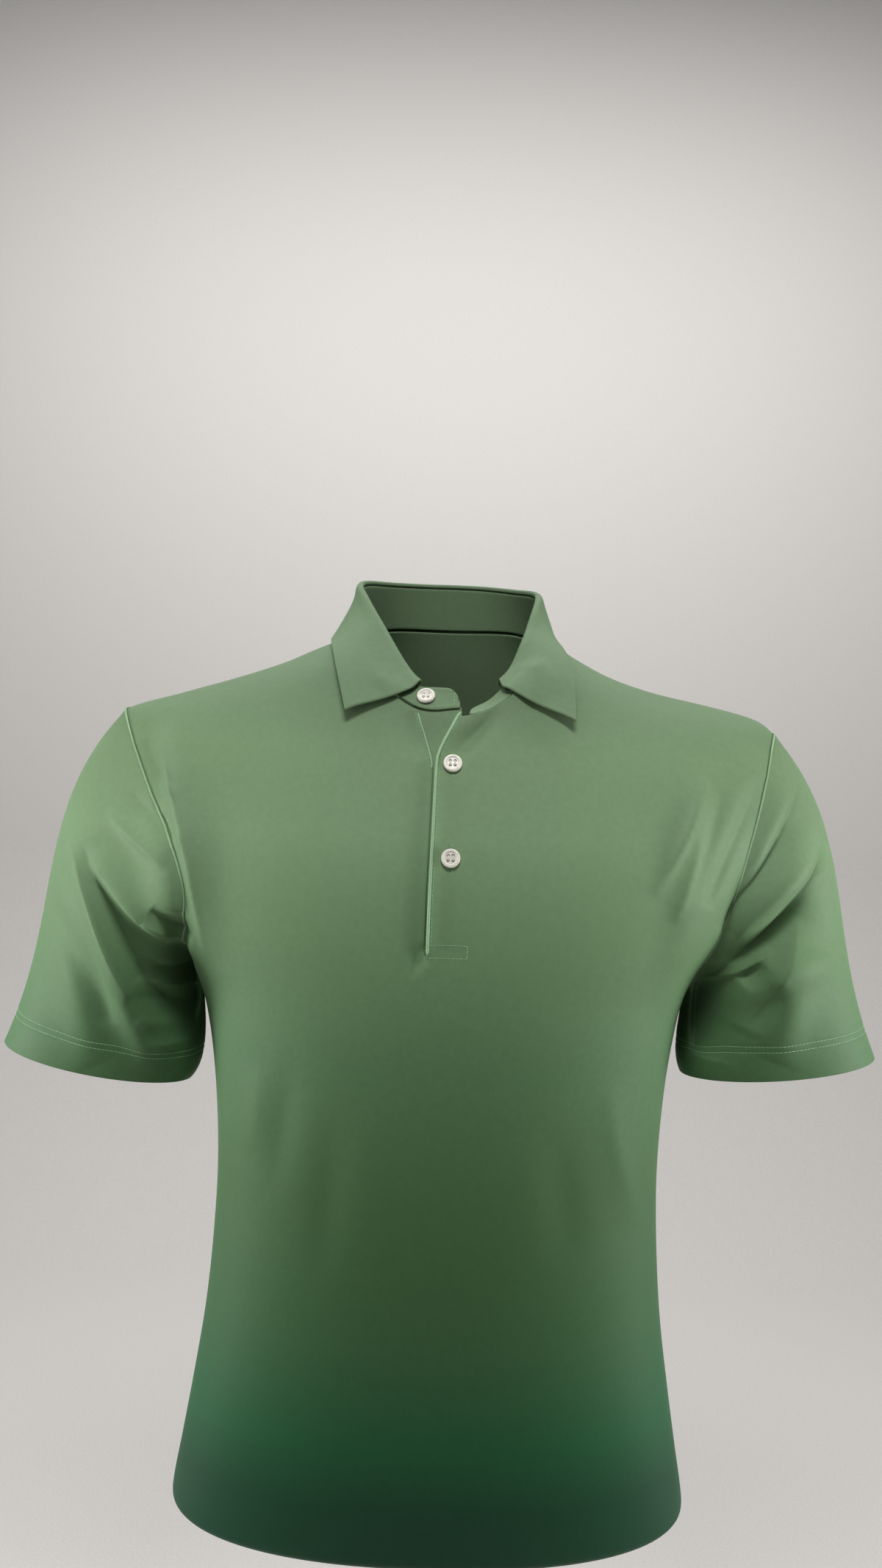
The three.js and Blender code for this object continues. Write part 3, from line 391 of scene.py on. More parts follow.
# %% Seams
SEAM_OVER = 0.955
TIP_ACROSS = 0.775
NECK_ACROSS = 0.18
FRONT_NECK_OVER = 0.433
BACK_NECK_OVER = 1.427
FRONT_ARMHOLE = {
    1: [(1, 0), (0.74, 0), (0.66, 0.45), (TIP_ACROSS, SEAM_OVER)],
    -1: [(1, 0), (0.4, 0.14), (0.67, 0.08), (TIP_ACROSS, SEAM_OVER)],
}
BACK_ARMHOLE = [(1, 2), (0.75, 2), (0.68, 1.5), (TIP_ACROSS, SEAM_OVER)]
FRONT_NECK = [(0, FRONT_NECK_OVER), (0.1, FRONT_NECK_OVER), (0.163, 0.6), (NECK_ACROSS, SEAM_OVER)]
BACK_NECK = [(0, BACK_NECK_OVER), (0.1, BACK_NECK_OVER), (NECK_ACROSS, 1.15), (NECK_ACROSS, SEAM_OVER)]
OPENING = table(
    "z right left",
    (-196, -12, -10.8),
    (-160, -11.7, -10.6),
    (-120, -11, -9.8),
    (-88, -10.5, -9.3),
    (-80, -10.6, -8.9),
    (-75, -11.7, -8.2),
    (-70, -13.2, -6.6),
    (-63, -15.4, -3.4),
    (-56, -17.8, 0.2),
    (-50, -19.6, 3.2),
    (-46, -20.6, 6.2),
)
OPENING_TOP = {-1: 19.8, 1: 3.6}
HALVINGS = 30


def front_neck_at(distance):
    low, high = 0.0, 1.0
    for _ in range(HALVINGS):
        middle = (low + high) / 2
        if rising_point(*bezier(FRONT_NECK, middle))[0] < distance:
            low = middle
        else:
            high = middle
    return low


def opening_edge(side, over):
    z = rising_point(0, over)[..., 2]
    return across_at(read(OPENING, "z", z, "left" if side > 0 else "right"), over)


SLIT_END = over_of_height(OPENING["z"][0])
print("the opening ends", round(float(SLIT_END), 3), "of the way up to the shoulder line")

# %% [markdown]
# ## Sheets and walls
# A sheet is a grid of points with its faces and its lengths along the cloth. To make cloth of it,
# `make_wall` gives every point a direction shared with all panels that meet there, lays a second sheet
# below the first, and joins the two with a rounded edge. At the body seams this edge is kept narrow, so
# that two panels meet in a fine groove and not in a dark gap. A Solidify modifier could thicken a
# panel as well, but it knows only one piece at a time, so neighbours would part at the seams.

# %% Walls
EDGE_STEPS = 3
SEAM_REACH = 0.35
JOIN_DIGITS, MEET_DIGITS = 4, 3


def grid_sheet(points, flip=False, uv=None):
    rows, columns = points.shape[:2]
    a = (np.arange(rows - 1)[:, None] * columns + np.arange(columns - 1)).ravel()
    quads = np.stack([a, a + 1, a + 1 + columns, a + columns], 1)
    if uv is None:
        uv = np.zeros((rows, columns, 2))
    return points.reshape(-1, 3), quads[:, ::-1] if flip else quads, uv.reshape(-1, 2)


def stack_sheets(sheets):
    points, quads, uv = zip(*sheets)
    starts = np.cumsum([0, *map(len, points[:-1])])
    moved = [some + start for some, start in zip(quads, starts)]
    return np.concatenate(points), np.concatenate(moved), np.concatenate(uv)


def join_sheets(sheets):
    points, quads, uv = stack_sheets(sheets)
    rounded = np.round(points, JOIN_DIGITS)
    _, first, index = np.unique(rounded, axis=0, return_index=True, return_inverse=True)
    return points[first], index.ravel()[quads], uv[first]


def shared_normals(sheets):
    points, quads, _ = stack_sheets(sheets)
    corners = points[quads]
    normals = np.cross(corners[:, 2] - corners[:, 0], corners[:, 3] - corners[:, 1]) / 2
    _, index = np.unique(np.round(points, MEET_DIGITS), axis=0, return_inverse=True)
    index = index.ravel()
    merged = np.zeros((index.max() + 1, 3))
    for corner in quads.T:
        np.add.at(merged, index[corner], normals)
    return np.split(unit(merged)[index], np.cumsum([len(sheet[0]) for sheet in sheets])[:-1])


def boundary(quads):
    edges = np.concatenate([quads[:, [i, (i + 1) % 4]] for i in range(4)])
    size = quads.max() + 1
    forward, backward = edges[:, 0] * size + edges[:, 1], edges[:, 1] * size + edges[:, 0]
    return edges[~np.isin(forward, backward)]


def make_wall(name, sheet, normals, thickness, reach, material):
    points, quads, uv = sheet
    radius = np.broadcast_to(np.asarray(thickness, float) / 2, len(points))[:, None]
    edges = boundary(quads)
    rim = np.unique(edges)
    out = np.zeros_like(points)
    outward = unit(np.cross(points[edges[:, 1]] - points[edges[:, 0]], normals[edges[:, 0]]))
    for end in edges.T:
        np.add.at(out, end, outward)
    out = unit(out[rim]) * (radius[rim] if reach is None else reach)
    outer = points.copy()
    outer[rim] -= out
    layers = [outer, outer - normals * 2 * radius]
    for angle in np.pi * np.arange(1, EDGE_STEPS + 1) / (EDGE_STEPS + 1):
        down = normals[rim] * radius[rim] * (1 - np.cos(angle))
        layers.append(outer[rim] - down + out * np.sin(angle))
    count = len(points)
    place = np.zeros(count, int)
    place[rim] = np.arange(len(rim))
    rings = [2 * count + step * len(rim) + place[edges] for step in range(EDGE_STEPS)]
    rings = [edges, *rings, edges + count]
    faces = [quads, quads[:, ::-1] + count]
    faces += [np.concatenate([upper[:, ::-1], lower], 1) for upper, lower in zip(rings, rings[1:])]
    uv = np.concatenate([uv, uv] + [uv[rim]] * EDGE_STEPS)
    return add_piece(name, np.concatenate(layers), np.concatenate(faces), uv, material)


def add_mesh(name, points, faces, uv, material):
    mesh = bpy.data.meshes.new(name)
    mesh.vertices.add(len(points))
    mesh.vertices.foreach_set("co", np.asarray(points, np.float32).ravel())
    mesh.loops.add(faces.size)
    mesh.loops.foreach_set("vertex_index", faces.astype(np.int32).ravel())
    mesh.polygons.add(len(faces))
    mesh.polygons.foreach_set("loop_start", np.arange(0, faces.size, faces.shape[1], dtype=np.int32))
    mesh.polygons.foreach_set("use_smooth", np.ones(len(faces), bool))
    if uv is not None:
        layer = mesh.uv_layers.new(name="cloth")
        layer.data.foreach_set("uv", np.asarray(uv, np.float32)[faces.ravel()].ravel())
    mesh.update(calc_edges=True)
    mesh.validate()
    mesh.materials.append(material)
    piece = bpy.data.objects.new(name, mesh)
    bpy.context.scene.collection.objects.link(piece)
    return piece


def add_piece(name, points, faces, uv, material):
    piece = add_mesh(name, points * MM, faces, uv, material)
    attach(piece, "root")
    print(name, len(points), "points")
    return piece


print("the edge of a seam reaches", SEAM_REACH, "mm past the cloth beside it")

# %% [markdown]
# ## Cloth
# The cloth is a smooth knit with a soft finish, which turns from yellow green on the shoulders to
# blue green at the hem as it gets darker. Its colour is given by height, in metres from the neck. The
# change of hue is the dye's. The darkening towards the hem is partly dye and partly painted shade: the
# fall-off of the light down the body, put into the colour. Interlock polyester is knitted with so many
# fine needles that its ribs can't be seen at this distance, so they are drawn as a faint bump, three
# times as coarse as they are. A little sheen stands for the nap of fine fibre ends. All this gives the
# eye a matt, dense cloth with soft highlights.

# %% Cloth and thread


def linear(hex_colour):
    values = [int(hex_colour[i : i + 2], 16) / 255 for i in (1, 3, 5)]
    return [v / 12.92 if v <= 0.04045 else ((v + 0.055) / 1.055) ** 2.4 for v in values] + [1]


def add_node(tree, kind, settings=None, **links):
    node = tree.nodes.new("ShaderNode" + kind)
    for name, value in (settings or {}).items():
        if name in node.inputs:
            node.inputs[name].default_value = value
        else:
            setattr(node, name, value)
    for name, source in links.items():
        tree.links.new(source, node.inputs[name.replace("_", " ")])
    return node


def new_material(name):
    material = bpy.data.materials.new(name)
    material.use_nodes = True
    material.node_tree.nodes.clear()
    return material, material.node_tree


NOISE_SPAN = {"From Min": 0.3, "From Max": 0.7}
DYE_PATCH_MM, KNIT_PITCH_MM = 3.846, 1.5
CLOUD_MM, TWIST_MM, PULP_MM = 1.111, 0.3333, 2.5
# heights in metres and colours: the dye, darkened towards the hem by painted shade for the light's fall-off
DYE_AND_SHADE_STOPS = [
    (-0.587, "#04331c"),
    (-0.545, "#04341c"),
    (-0.503, "#134727"),
    (-0.44, "#2e5030"),
    (-0.35, "#3c5a36"),
    (-0.265, "#4c6b48"),
    (-0.196, "#607d58"),
    (-0.125, "#728d69"),
    (-0.072, "#6d8663"),
    (-0.03, "#5f7557"),
    (0.06, "#5f7557"),
]


def uneven_tone(tree, place, size_mm, detail, low, high):
    grain = add_node(tree, "TexNoise", {"Scale": 1 / MM / size_mm, "Detail": detail}, Vector=place)
    span = NOISE_SPAN | {"To Min": low, "To Max": high}
    return add_node(tree, "MapRange", span, Value=grain.outputs["Fac"]).outputs["Result"]


def jersey_material():
    material, tree = new_material("polyester interlock jersey, dyed green")
    place = add_node(tree, "TexCoord").outputs
    height = add_node(tree, "SeparateXYZ", Vector=place["Object"]).outputs["Z"]
    low, high = DYE_AND_SHADE_STOPS[0][0], DYE_AND_SHADE_STOPS[-1][0]
    share = add_node(tree, "MapRange", {"From Min": low, "From Max": high}, Value=height)
    # the ramp paints the light's fall-off towards the hem into the dye's colour
    ramp = add_node(tree, "ValToRGB", Fac=share.outputs["Result"])
    stops = ramp.color_ramp.elements
    for z, colour in DYE_AND_SHADE_STOPS[1:-1]:
        stops.new((z - low) / (high - low)).color = linear(colour)
    stops[0].color = linear(DYE_AND_SHADE_STOPS[0][1])
    stops[-1].color = linear(DYE_AND_SHADE_STOPS[-1][1])
    tone = uneven_tone(tree, place["Object"], DYE_PATCH_MM, 3, 0.96, 1.04)
    colour = add_node(tree, "HueSaturation", Color=ramp.outputs["Color"], Value=tone)
    knit = {"Scale": 1 / MM / KNIT_PITCH_MM / 2, "Distortion": 1.5, "Detail": 2, "Detail Scale": 4}
    ribs = add_node(tree, "TexWave", knit, Vector=place["UV"])
    bump = add_node(tree, "Bump", {"Strength": 0.12, "Distance": 0.0002}, Height=ribs.outputs["Color"])
    finish = {
        "Roughness": 0.62,
        "Specular IOR Level": 0.18,
        "Sheen Weight": 0.07,
        "Sheen Roughness": 0.45,
        "Sheen Tint": linear("#8fc296"),
    }
    colour, normal = colour.outputs["Color"], bump.outputs["Normal"]
    cloth = add_node(tree, "BsdfPrincipled", finish, Base_Color=colour, Normal=normal)
    add_node(tree, "OutputMaterial", Surface=cloth.outputs["BSDF"])
    return material


def plain_material(name, colour, roughness, grain_mm):
    material, tree = new_material(name)
    place = add_node(tree, "TexCoord").outputs["Object"]
    shade = uneven_tone(tree, place, grain_mm, 4, 0.93, 1.05)
    tone = add_node(tree, "HueSaturation", {"Color": linear(colour)}, Value=shade)
    surface = add_node(tree, "BsdfPrincipled", {"Roughness": roughness}, Base_Color=tone.outputs["Color"])
    add_node(tree, "OutputMaterial", Surface=surface.outputs["BSDF"])
    return material


JERSEY = jersey_material()
# cast resin that was turned looks pale and half glossy, with faint clouds in it
RESIN = plain_material("polyester resin, cast and turned", "#dbd6cb", 0.35, CLOUD_MM)
# the twist of a spun thread catches the light, so its colour is painted lighter than cloth of the same dye,
# as a highlight
THREAD = plain_material("polyester sewing thread, spun, painted highlight", "#7ea67c", 0.55, TWIST_MM)
# a pressed fold is smoother than the knit beside it, and its colour is painted lighter, as a highlight for
# the light it catches, so it reads as a light line
PRESSED_HIGHLIGHT = plain_material("polyester interlock jersey, pressed edge, painted highlight", "#82a27b", 0.5, CLOUD_MM)
# the thread of the buttons is undyed and matt, a little darker than the resin
BUTTON_THREAD = plain_material("polyester button thread, spun", "#d5d3c8", 0.6, TWIST_MM)


def add_cloth(node, sheet, thickness, normals=None, reach=None):
    if normals is None:
        normals = shared_normals([sheet])[0]
    piece = make_wall(node + "_cloth", sheet, normals, thickness, reach, JERSEY)
    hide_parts(node)


# the ramp's colours hold the dye and the painted shade towards the hem
print("the jersey's dye and painted shade take", len(DYE_AND_SHADE_STOPS), "colours from hem to neck")

# %% [markdown]
# ## Front and back
# Each panel is a grid between its seams. The front is cut open from the neck to mid chest, and its right
# edge lies lower than its left one, which overlaps it as on any men's shirt. The left edge is folded and
# pressed, so it stands up as a lip; the right one dips down beside it.
# Panels could be cut flat and sewn by a simulation, but rows between seams give the same cloth each run.

# %% Front and back
COLUMNS = 84
NECK_SHARE = 8 / 14
SLIT_ROW, RISE_ROWS = 10, 108
SLIT_SHARE = 0.0959
BELOW_SLIT = np.linspace(0, SLIT_SHARE, SLIT_ROW + 1)
RISE_SHARES = np.concatenate([BELOW_SLIT, np.linspace(SLIT_SHARE, 1, RISE_ROWS + 1)[1:]])
LEVEL_ROWS, TURN_ROWS = 106, 12
LEVELS = np.linspace(HEM_TURN_Z, UNDERARM_Z, LEVEL_ROWS + 1)[:-1]
U = np.arange(COLUMNS + 1) / COLUMNS


def coons(bottom, top, inner, outer):
    v = RISE_SHARES[:, None, None]
    u = U[None, :, None]
    corners = mix(mix(bottom[0], bottom[-1], u), mix(top[0], top[-1], u), v)
    return mix(bottom[None], top[None], v) + mix(inner[:, None], outer[:, None], u) - corners


def upper_edge(neck, neck_start):
    along_neck = bezier(neck, mix(neck_start, 1, np.minimum(U / NECK_SHARE, 1)))
    along_shoulder = mix(NECK_ACROSS, TIP_ACROSS, (U - NECK_SHARE) / (1 - NECK_SHARE))
    shoulder = np.stack([along_shoulder, np.full_like(U, SEAM_OVER)], -1)
    return np.where((U <= NECK_SHARE)[:, None], along_neck, shoulder)


def level_rows(behind):
    across = np.arange(-COLUMNS, COLUMNS + 1) / COLUMNS
    steps = np.linspace(0, TURN_UNDER["step"][-1], TURN_ROWS + 1)[:-1]
    z = np.concatenate([read(TURN_UNDER, "step", steps, "z"), LEVELS])
    inset = np.concatenate([read(TURN_UNDER, "step", steps, "inset"), 0 * LEVELS])
    return level_point(across[None, :], z[:, None], behind, inset[:, None])


LIP, LIP_WIDTH = 1.6, 7
DIP, DIP_WIDTH = 2.4, 7
EDGE_FOOT, EDGE_FOOT_FADE = -214, 26
EDGE_HEAD, EDGE_HEAD_FADE = -40, 30


def beside_opening(z):
    return smooth((z - EDGE_FOOT) / EDGE_FOOT_FADE) * smooth((EDGE_HEAD - z) / EDGE_HEAD_FADE)


def with_edges(points, side):
    x, z = points[..., 0], points[..., 2]
    edge = read(OPENING, "z", z, "left" if side > 0 else "right")
    off = np.abs(x - edge)
    moved = points.copy()
    if side > 0:
        moved[..., 1] -= LIP * beside_opening(z) * (1 - smooth(off / LIP_WIDTH))
    else:
        moved[..., 1] += DIP * beside_opening(z) * np.exp(-((off / DIP_WIDTH) ** 2))
    return moved


def front_half(side):
    top = upper_edge(FRONT_NECK, front_neck_at(OPENING_TOP[side]))
    v = RISE_SHARES
    over = v * top[0, 1]
    slit = side * opening_edge(side, np.maximum(over, SLIT_END))
    inner = np.stack([np.where(v < v[SLIT_ROW], slit * smooth(v / v[SLIT_ROW]), slit), over], -1)
    bottom = np.stack([U, 0 * U], -1)
    place = coons(bottom, top, inner, bezier(FRONT_ARMHOLE[side], v))
    points = with_edges(with_folds(rising_point(side * place[..., 0], place[..., 1])), side)
    return points if side > 0 else points[:, ::-1]


def lengths_uv(points, middle):
    along = np.cumsum(np.linalg.norm(np.diff(points, axis=1, prepend=points[:, :1]), axis=2), 1)
    up = np.cumsum(np.linalg.norm(np.diff(points, axis=0, prepend=points[:1]), axis=2), 0)
    return np.stack([along - along[:, middle : middle + 1], up], -1) * MM


def front_panel():
    left, right = front_half(1), front_half(-1)
    lower = with_folds(level_rows(False))
    meet = (left[SLIT_ROW, 0] + right[SLIT_ROW, -1]) / 2
    left[SLIT_ROW, 0] = right[SLIT_ROW, -1] = meet
    joined = np.concatenate([right[: SLIT_ROW + 1, :-1], left[: SLIT_ROW + 1]], 1)
    # the middle column is shared below the opening, so it lies between the two edges' heights
    joined[:, COLUMNS] = (right[: SLIT_ROW + 1, -1] + left[: SLIT_ROW + 1, 0]) / 2
    below = np.concatenate([lower, joined])
    below_uv = lengths_uv(below, COLUMNS)
    start = below_uv[-1, COLUMNS, 1]
    halves = []
    for half, middle in ((right[SLIT_ROW:], COLUMNS), (left[SLIT_ROW:], 0)):
        halves.append(grid_sheet(half, uv=lengths_uv(half, middle) + [0, start]))
    return join_sheets([grid_sheet(below, uv=below_uv), *halves])


def back_panel():
    top = upper_edge(BACK_NECK, 0)
    inner = np.stack([0 * RISE_SHARES, mix(2, BACK_NECK_OVER, RISE_SHARES)], -1)
    bottom = np.stack([U, 0 * U + 2], -1)
    place = coons(bottom, top, inner, bezier(BACK_ARMHOLE, RISE_SHARES))
    left = rising_point(place[..., 0], place[..., 1])
    right = rising_point(-place[..., 0], place[..., 1])[:, :0:-1]
    rows = with_folds(np.concatenate([level_rows(True), np.concatenate([right, left], 1)]))
    return join_sheets([grid_sheet(rows, flip=True, uv=lengths_uv(rows, COLUMNS))])


front, back = front_panel(), back_panel()
print("front sheet", len(front[0]), "points; back sheet", len(back[0]))

# %% [markdown]
# ## Sleeves
# A set-in sleeve starts from the same armhole line as the body and ends in a flat hem ring. Its cap is
# longer than the armhole, so it swells before it falls. The hem is turned in by 25 mm and sewn with a
# twin needle, which leaves it twice as thick and slightly pinched along the two rows. A straight tube
# would stand off like a pipe, so each line of cloth is a curve with a direction of its own at each end.

# %% Sleeves
SLEEVE_COLUMNS = "side x y z half depth slope tuck out".split()
SLEEVE_SIZES = {
    "sleeve_left": (1, 232, -4, -278.5, 66.5, 49, 7, 30, 185),
    "sleeve_right": (-1, 236, -4, -289, 65, 48, 10.5, 54, 190),
}
SLEEVES = {name: dict(zip(SLEEVE_COLUMNS, sizes)) for name, sizes in SLEEVE_SIZES.items()}
SLEEVE_RUN = {"top": (207, 278), "under": (4, 62)}
SLEEVE_UNDER_OUT = 18
SLEEVE_HEM_OUT = 117
SLEEVE_PUFF = 26
CUFF_SHARE = 0.88
ARM_ROWS, CUFF_ROWS = 110, 29
DOWN_ARM = np.linspace(0, CUFF_SHARE, ARM_ROWS + 1)[:-1]
SLEEVE_SHARES = np.concatenate([DOWN_ARM, np.linspace(CUFF_SHARE, 1, CUFF_ROWS + 1)])
HEM_ROWS = (20, 24)
HEM_PINCH, HEM_PINCH_WIDTH = 0.35, 1.1
HEM_EDGE, HEM_STEP, HEM_EXTRA = 25, 2, 0.9
CAP_RISE, CAP_RISE_WIDTH, CAP_RISE_START = 0.5, 3, 30


def sleeve_rows(side, x, y, z, half, depth, slope, tuck, out):
    v = RISE_SHARES
    loop = np.concatenate([bezier(BACK_ARMHOLE, v), bezier(FRONT_ARMHOLE[side], v[::-1][1:])])
    angle = np.pi * np.concatenate([1 + v, 3 - v[::-1][1:]])
    share, lift, sine = (1 + np.cos(angle)) / 2, np.abs(np.cos(angle / 2)), np.sin(angle)
    down, hem_down = (mix(SLEEVE_RUN["under"][i], SLEEVE_RUN["top"][i], share) for i in (0, 1))
    start = rising_point(side * loop[:, 0], loop[:, 1])
    start_run = np.stack([side * mix(SLEEVE_UNDER_OUT, out, lift), -sine * SLEEVE_PUFF, -down], -1)
    tilt = math.radians(slope)
    outward = np.array([side * math.cos(tilt), 0, math.sin(tilt)])
    hem = np.stack([side * x + 0 * angle, y - depth * sine, z + 0 * angle], -1)
    hem += outward * (half * np.cos(angle))[:, None]
    hem_run = np.stack([side * mix(tuck, SLEEVE_HEM_OUT, share), 0 * angle, -hem_down], -1)
    t = SLEEVE_SHARES[:, None, None]
    return with_folds(hermite(start, start_run, hem, hem_run, t))


def from_hem(rows):
    lengths = np.linalg.norm(np.diff(rows[::-1], axis=0, prepend=rows[-1:]), axis=2)
    return np.cumsum(lengths, 0)[::-1]


def from_underarm(rows):
    steps = np.linalg.norm(np.diff(rows[0], axis=0, prepend=rows[0, :1]), axis=1)
    along = np.cumsum(steps)
    return np.minimum(along, along[::-1])


def sleeve_sheet(name):
    side = SLEEVES[name]["side"]
    rows = sleeve_rows(**SLEEVES[name])
    off = from_hem(rows)
    ahead = np.roll(rows, -1, 1) - np.roll(rows, 1, 1)
    beyond = np.gradient(rows, axis=0)
    normals = unit(np.cross(ahead, beyond) * side)
    pinch = sum(np.exp(-(((off - row) / HEM_PINCH_WIDTH) ** 2)) for row in HEM_ROWS)
    from_cap = off[:1] - off
    raised = CAP_RISE * np.exp(-((from_cap / CAP_RISE_WIDTH) ** 2))
    raised = raised * smooth(from_underarm(rows) / CAP_RISE_START)
    rows = rows + normals * (raised - HEM_PINCH * pinch)[..., None]
    thickness = WALL + HEM_EXTRA * smooth((HEM_EDGE - off) / HEM_STEP)
    sheet = grid_sheet(rows, side < 0, lengths_uv(rows, len(RISE_SHARES) - 1))
    return sheet, thickness.ravel(), rows, normals


sleeves = {name: sleeve_sheet(name) for name in SLEEVES}
body_sheets = {"front": front, "back": back} | {name: parts[0] for name, parts in sleeves.items()}
body_normals = dict(zip(body_sheets, shared_normals(body_sheets.values())))
thicknesses = {name: parts[1] for name, parts in sleeves.items()}
for name, sheet in body_sheets.items():
    add_cloth(name, sheet, thicknesses.get(name, WALL), body_normals[name], SEAM_REACH)

# %% [markdown]
# ## Collar stand
# The stand is a band sewn to the neck seam. Its right end runs on past the opening as a tab with a
# button, and its left end stops behind the leaf. Its places are counted along the neck seam: 0 is the
# middle of the front, 1 and 3 the two neck points and 2 the middle of the back. A band swept along one
# curve would have one height, so each place has a top point of its own.

# %% Collar stand
STAND_COLUMNS = "at x y z lift"
STAND_RIGHT = table(
    STAND_COLUMNS,
    (-0.06, 5, -67, -31.5, 7),
    (0, -1, -67, -31.2, 6.5),
    (0.1, -11.4, -66, -31, 4),
    (0.2, -20, -64, -30.5, 2.2),
    (0.3, -25.5, -61, -27, 1.8),
    (0.45, -31.5, -56, -20, 1.8),
    (0.6, -39, -47.5, -8.5, 1.8),
    (0.8, -50, -32, 10.5, 1.8),
    (0.9, -56.5, -20, 22, 1.8),
    (1, -62, -8, 33, 1.8),
    (1.12, -65.5, 5, 41.5, 1.8),
    (1.25, -63, 20, 46.5, 1.8),
    (1.5, -46, 41, 49.5, 1.8),
    (1.75, -23, 53, 51, 1.8),
    (2, 0, 56, 51.5, 1.8),
)
STAND_LEFT = table(
    STAND_COLUMNS,
    (0.1, 11.7, -66, -43.2, 1.8),
    (0.2, 19, -62, -40.5, 1.8),
    (0.3, 25.5, -59, -36, 1.8),
    (0.45, 34.5, -53, -26, 1.8),
    (0.6, 41.5, -45, -15, 1.8),
    (0.8, 48, -33, 1.5, 1.8),
    (0.9, 51.5, -21, 12, 1.8),
    (1, 55, -8, 25, 1.8),
    (1.12, 57.5, 6, 36, 1.8),
    (1.25, 56.5, 20, 42, 1.8),
    (1.5, 42, 41, 47, 1.8),
    (1.75, 21, 53, 50.5, 1.8),
    (2, 0, 56, 51.5, 1.8),
)
TAB_END = {"right": 6, "left": 11, "radius": 9}
TAB_CUT, TAB_CUT_END = 0.5, 0.4
TAB_REACH = 0.3
STAND_ROWS = 14
STAND_UV_COLUMN = 120


def neck_seam(at):
    at = np.asarray(at, float)
    from_right = np.where(at <= 2, np.abs(at), 4 - at)
    side = np.where((at < 0) | (at >= 2), 1, -1)
    place = np.where(
        (from_right <= 1)[..., None],
        bezier(FRONT_NECK, np.clip(from_right, 0, 1)),
        bezier(BACK_NECK, np.clip(2 - from_right, 0, 1)),
    )
    return rising_point(side * place[..., 0], place[..., 1])


def stand_point(at, share, cut):
    at, share, cut = np.broadcast_arrays(*(np.asarray(v, float) for v in (at, share, cut)))
    base = neck_seam(at)

    def field(name):
        return np.where(at > 2, read(STAND_LEFT, "at", 4 - at, name), read(STAND_RIGHT, "at", at, name))

    top = np.stack([field("x"), field("y"), field("z")], -1)
    height = np.linalg.norm(top - base, axis=-1)
    return base + (top - base) * mix(field("lift") / height, cut, share)[..., None]


def tab_cut(at):
    x = neck_seam(at)[..., 0]
    into = np.clip(np.where(at > 2, x - TAB_END["left"], TAB_END["right"] - x) / TAB_END["radius"], 0, 1)
    cut = mix(TAB_CUT, 1, np.sqrt(1 - (1 - into) ** 2))
    return np.where(np.minimum(np.abs(at), np.abs(4 - at)) > TAB_CUT_END, 1, cut)


STAND_START, STAND_STOP = -front_neck_at(TAB_END["right"]), 4 - front_neck_at(TAB_END["left"])
STAND_PARTS = (
    (STAND_START, TAB_REACH, 40),
    (TAB_REACH, 4 - TAB_REACH, 199),
    (4 - TAB_REACH, STAND_STOP, 24),
)
stand_places = [np.linspace(first, last, steps + 1)[:-1] for first, last, steps in STAND_PARTS]
stand_places = np.concatenate([*stand_places, [STAND_STOP]])
stand_shares = np.linspace(0, 1, STAND_ROWS + 1)[:, None]
stand_rows = stand_point(stand_places, stand_shares, tab_cut(stand_places))
add_cloth("collar_stand", grid_sheet(stand_rows, True, lengths_uv(stand_rows, STAND_UV_COLUMN)), WALL)

# %% [markdown]
# ## Collar leaf
# The leaf rises from the stand's top edge, rolls over and falls on the shoulders. Each of its sections is
# two curves, a roll and a fall. A stiff leaf never lies flat on the cloth below, so wherever it would
# sink into the stand or the body, it is pushed clear, most of all at its free front edges.

# %% Collar leaf
LEAF_COLUMNS = 44
ROLL_STEPS = 4
FALL_STEPS = 7
REFINE = 5
LEAF_START = {-1: 22, 1: 40}
LEAF_EDGE_COLUMNS = "at across over lift"
LEAF_EDGE = {
    -1: table(
        LEAF_EDGE_COLUMNS,
        (0, -0.176, 0.47, 9.5),
        (0.22, -0.199, 0.68, 6),
        (0.5, -0.213, 0.93, 3.5),
        (0.72, -0.195, 1.24, 3),
        (0.88, -0.1, 1.41, 3),
        (1, 0, 1.45, 3),
    ),
    1: table(
        LEAF_EDGE_COLUMNS,
        (0, 0.206, 0.487, 9.5),
        (0.22, 0.2, 0.68, 6),
        (0.5, 0.181, 0.93, 3),
        (0.72, 0.18, 1.24, 3),
        (0.88, 0.1, 1.41, 3),
        (1, 0, 1.45, 3),
    ),
}
LEAF_SAG = {-1: (0, 0, -2), 1: (-6, 0, -19)}
LEAF_SAG_FADE = 0.16
LEAF_CLEAR = 1
LEAF_END_CLEAR = 3.2
LEAF_END_SHARE = 0.12
PUSHES = 6
ROLL_RISE, ROLL_WIDTH, ROLL_DROP = 4.5, 5.5, 1
LEAF_GAP = 0.6
FALL_DOWN, FALL_IN, FALL_BULGE = 0.3, 0.35, 0.04
NEAR = 0.01
NECK_SAMPLES = 400
PROBE_ACROSS, PROBE_OVER = np.arange(-0.26, 0.265, 0.01), np.arange(0.36, 1.57, 0.03)
PROBE_SHARE, PROBE_AT = np.arange(0, 0.95, 0.15), np.arange(0.05, 3.96, 0.05)


def surface_frame(surface, first, second):
    point = surface(first, second)
    beside, beyond = surface(first + NEAR, second) - point, surface(first, second + NEAR) - point
    return point, unit(np.cross(beside, beyond))


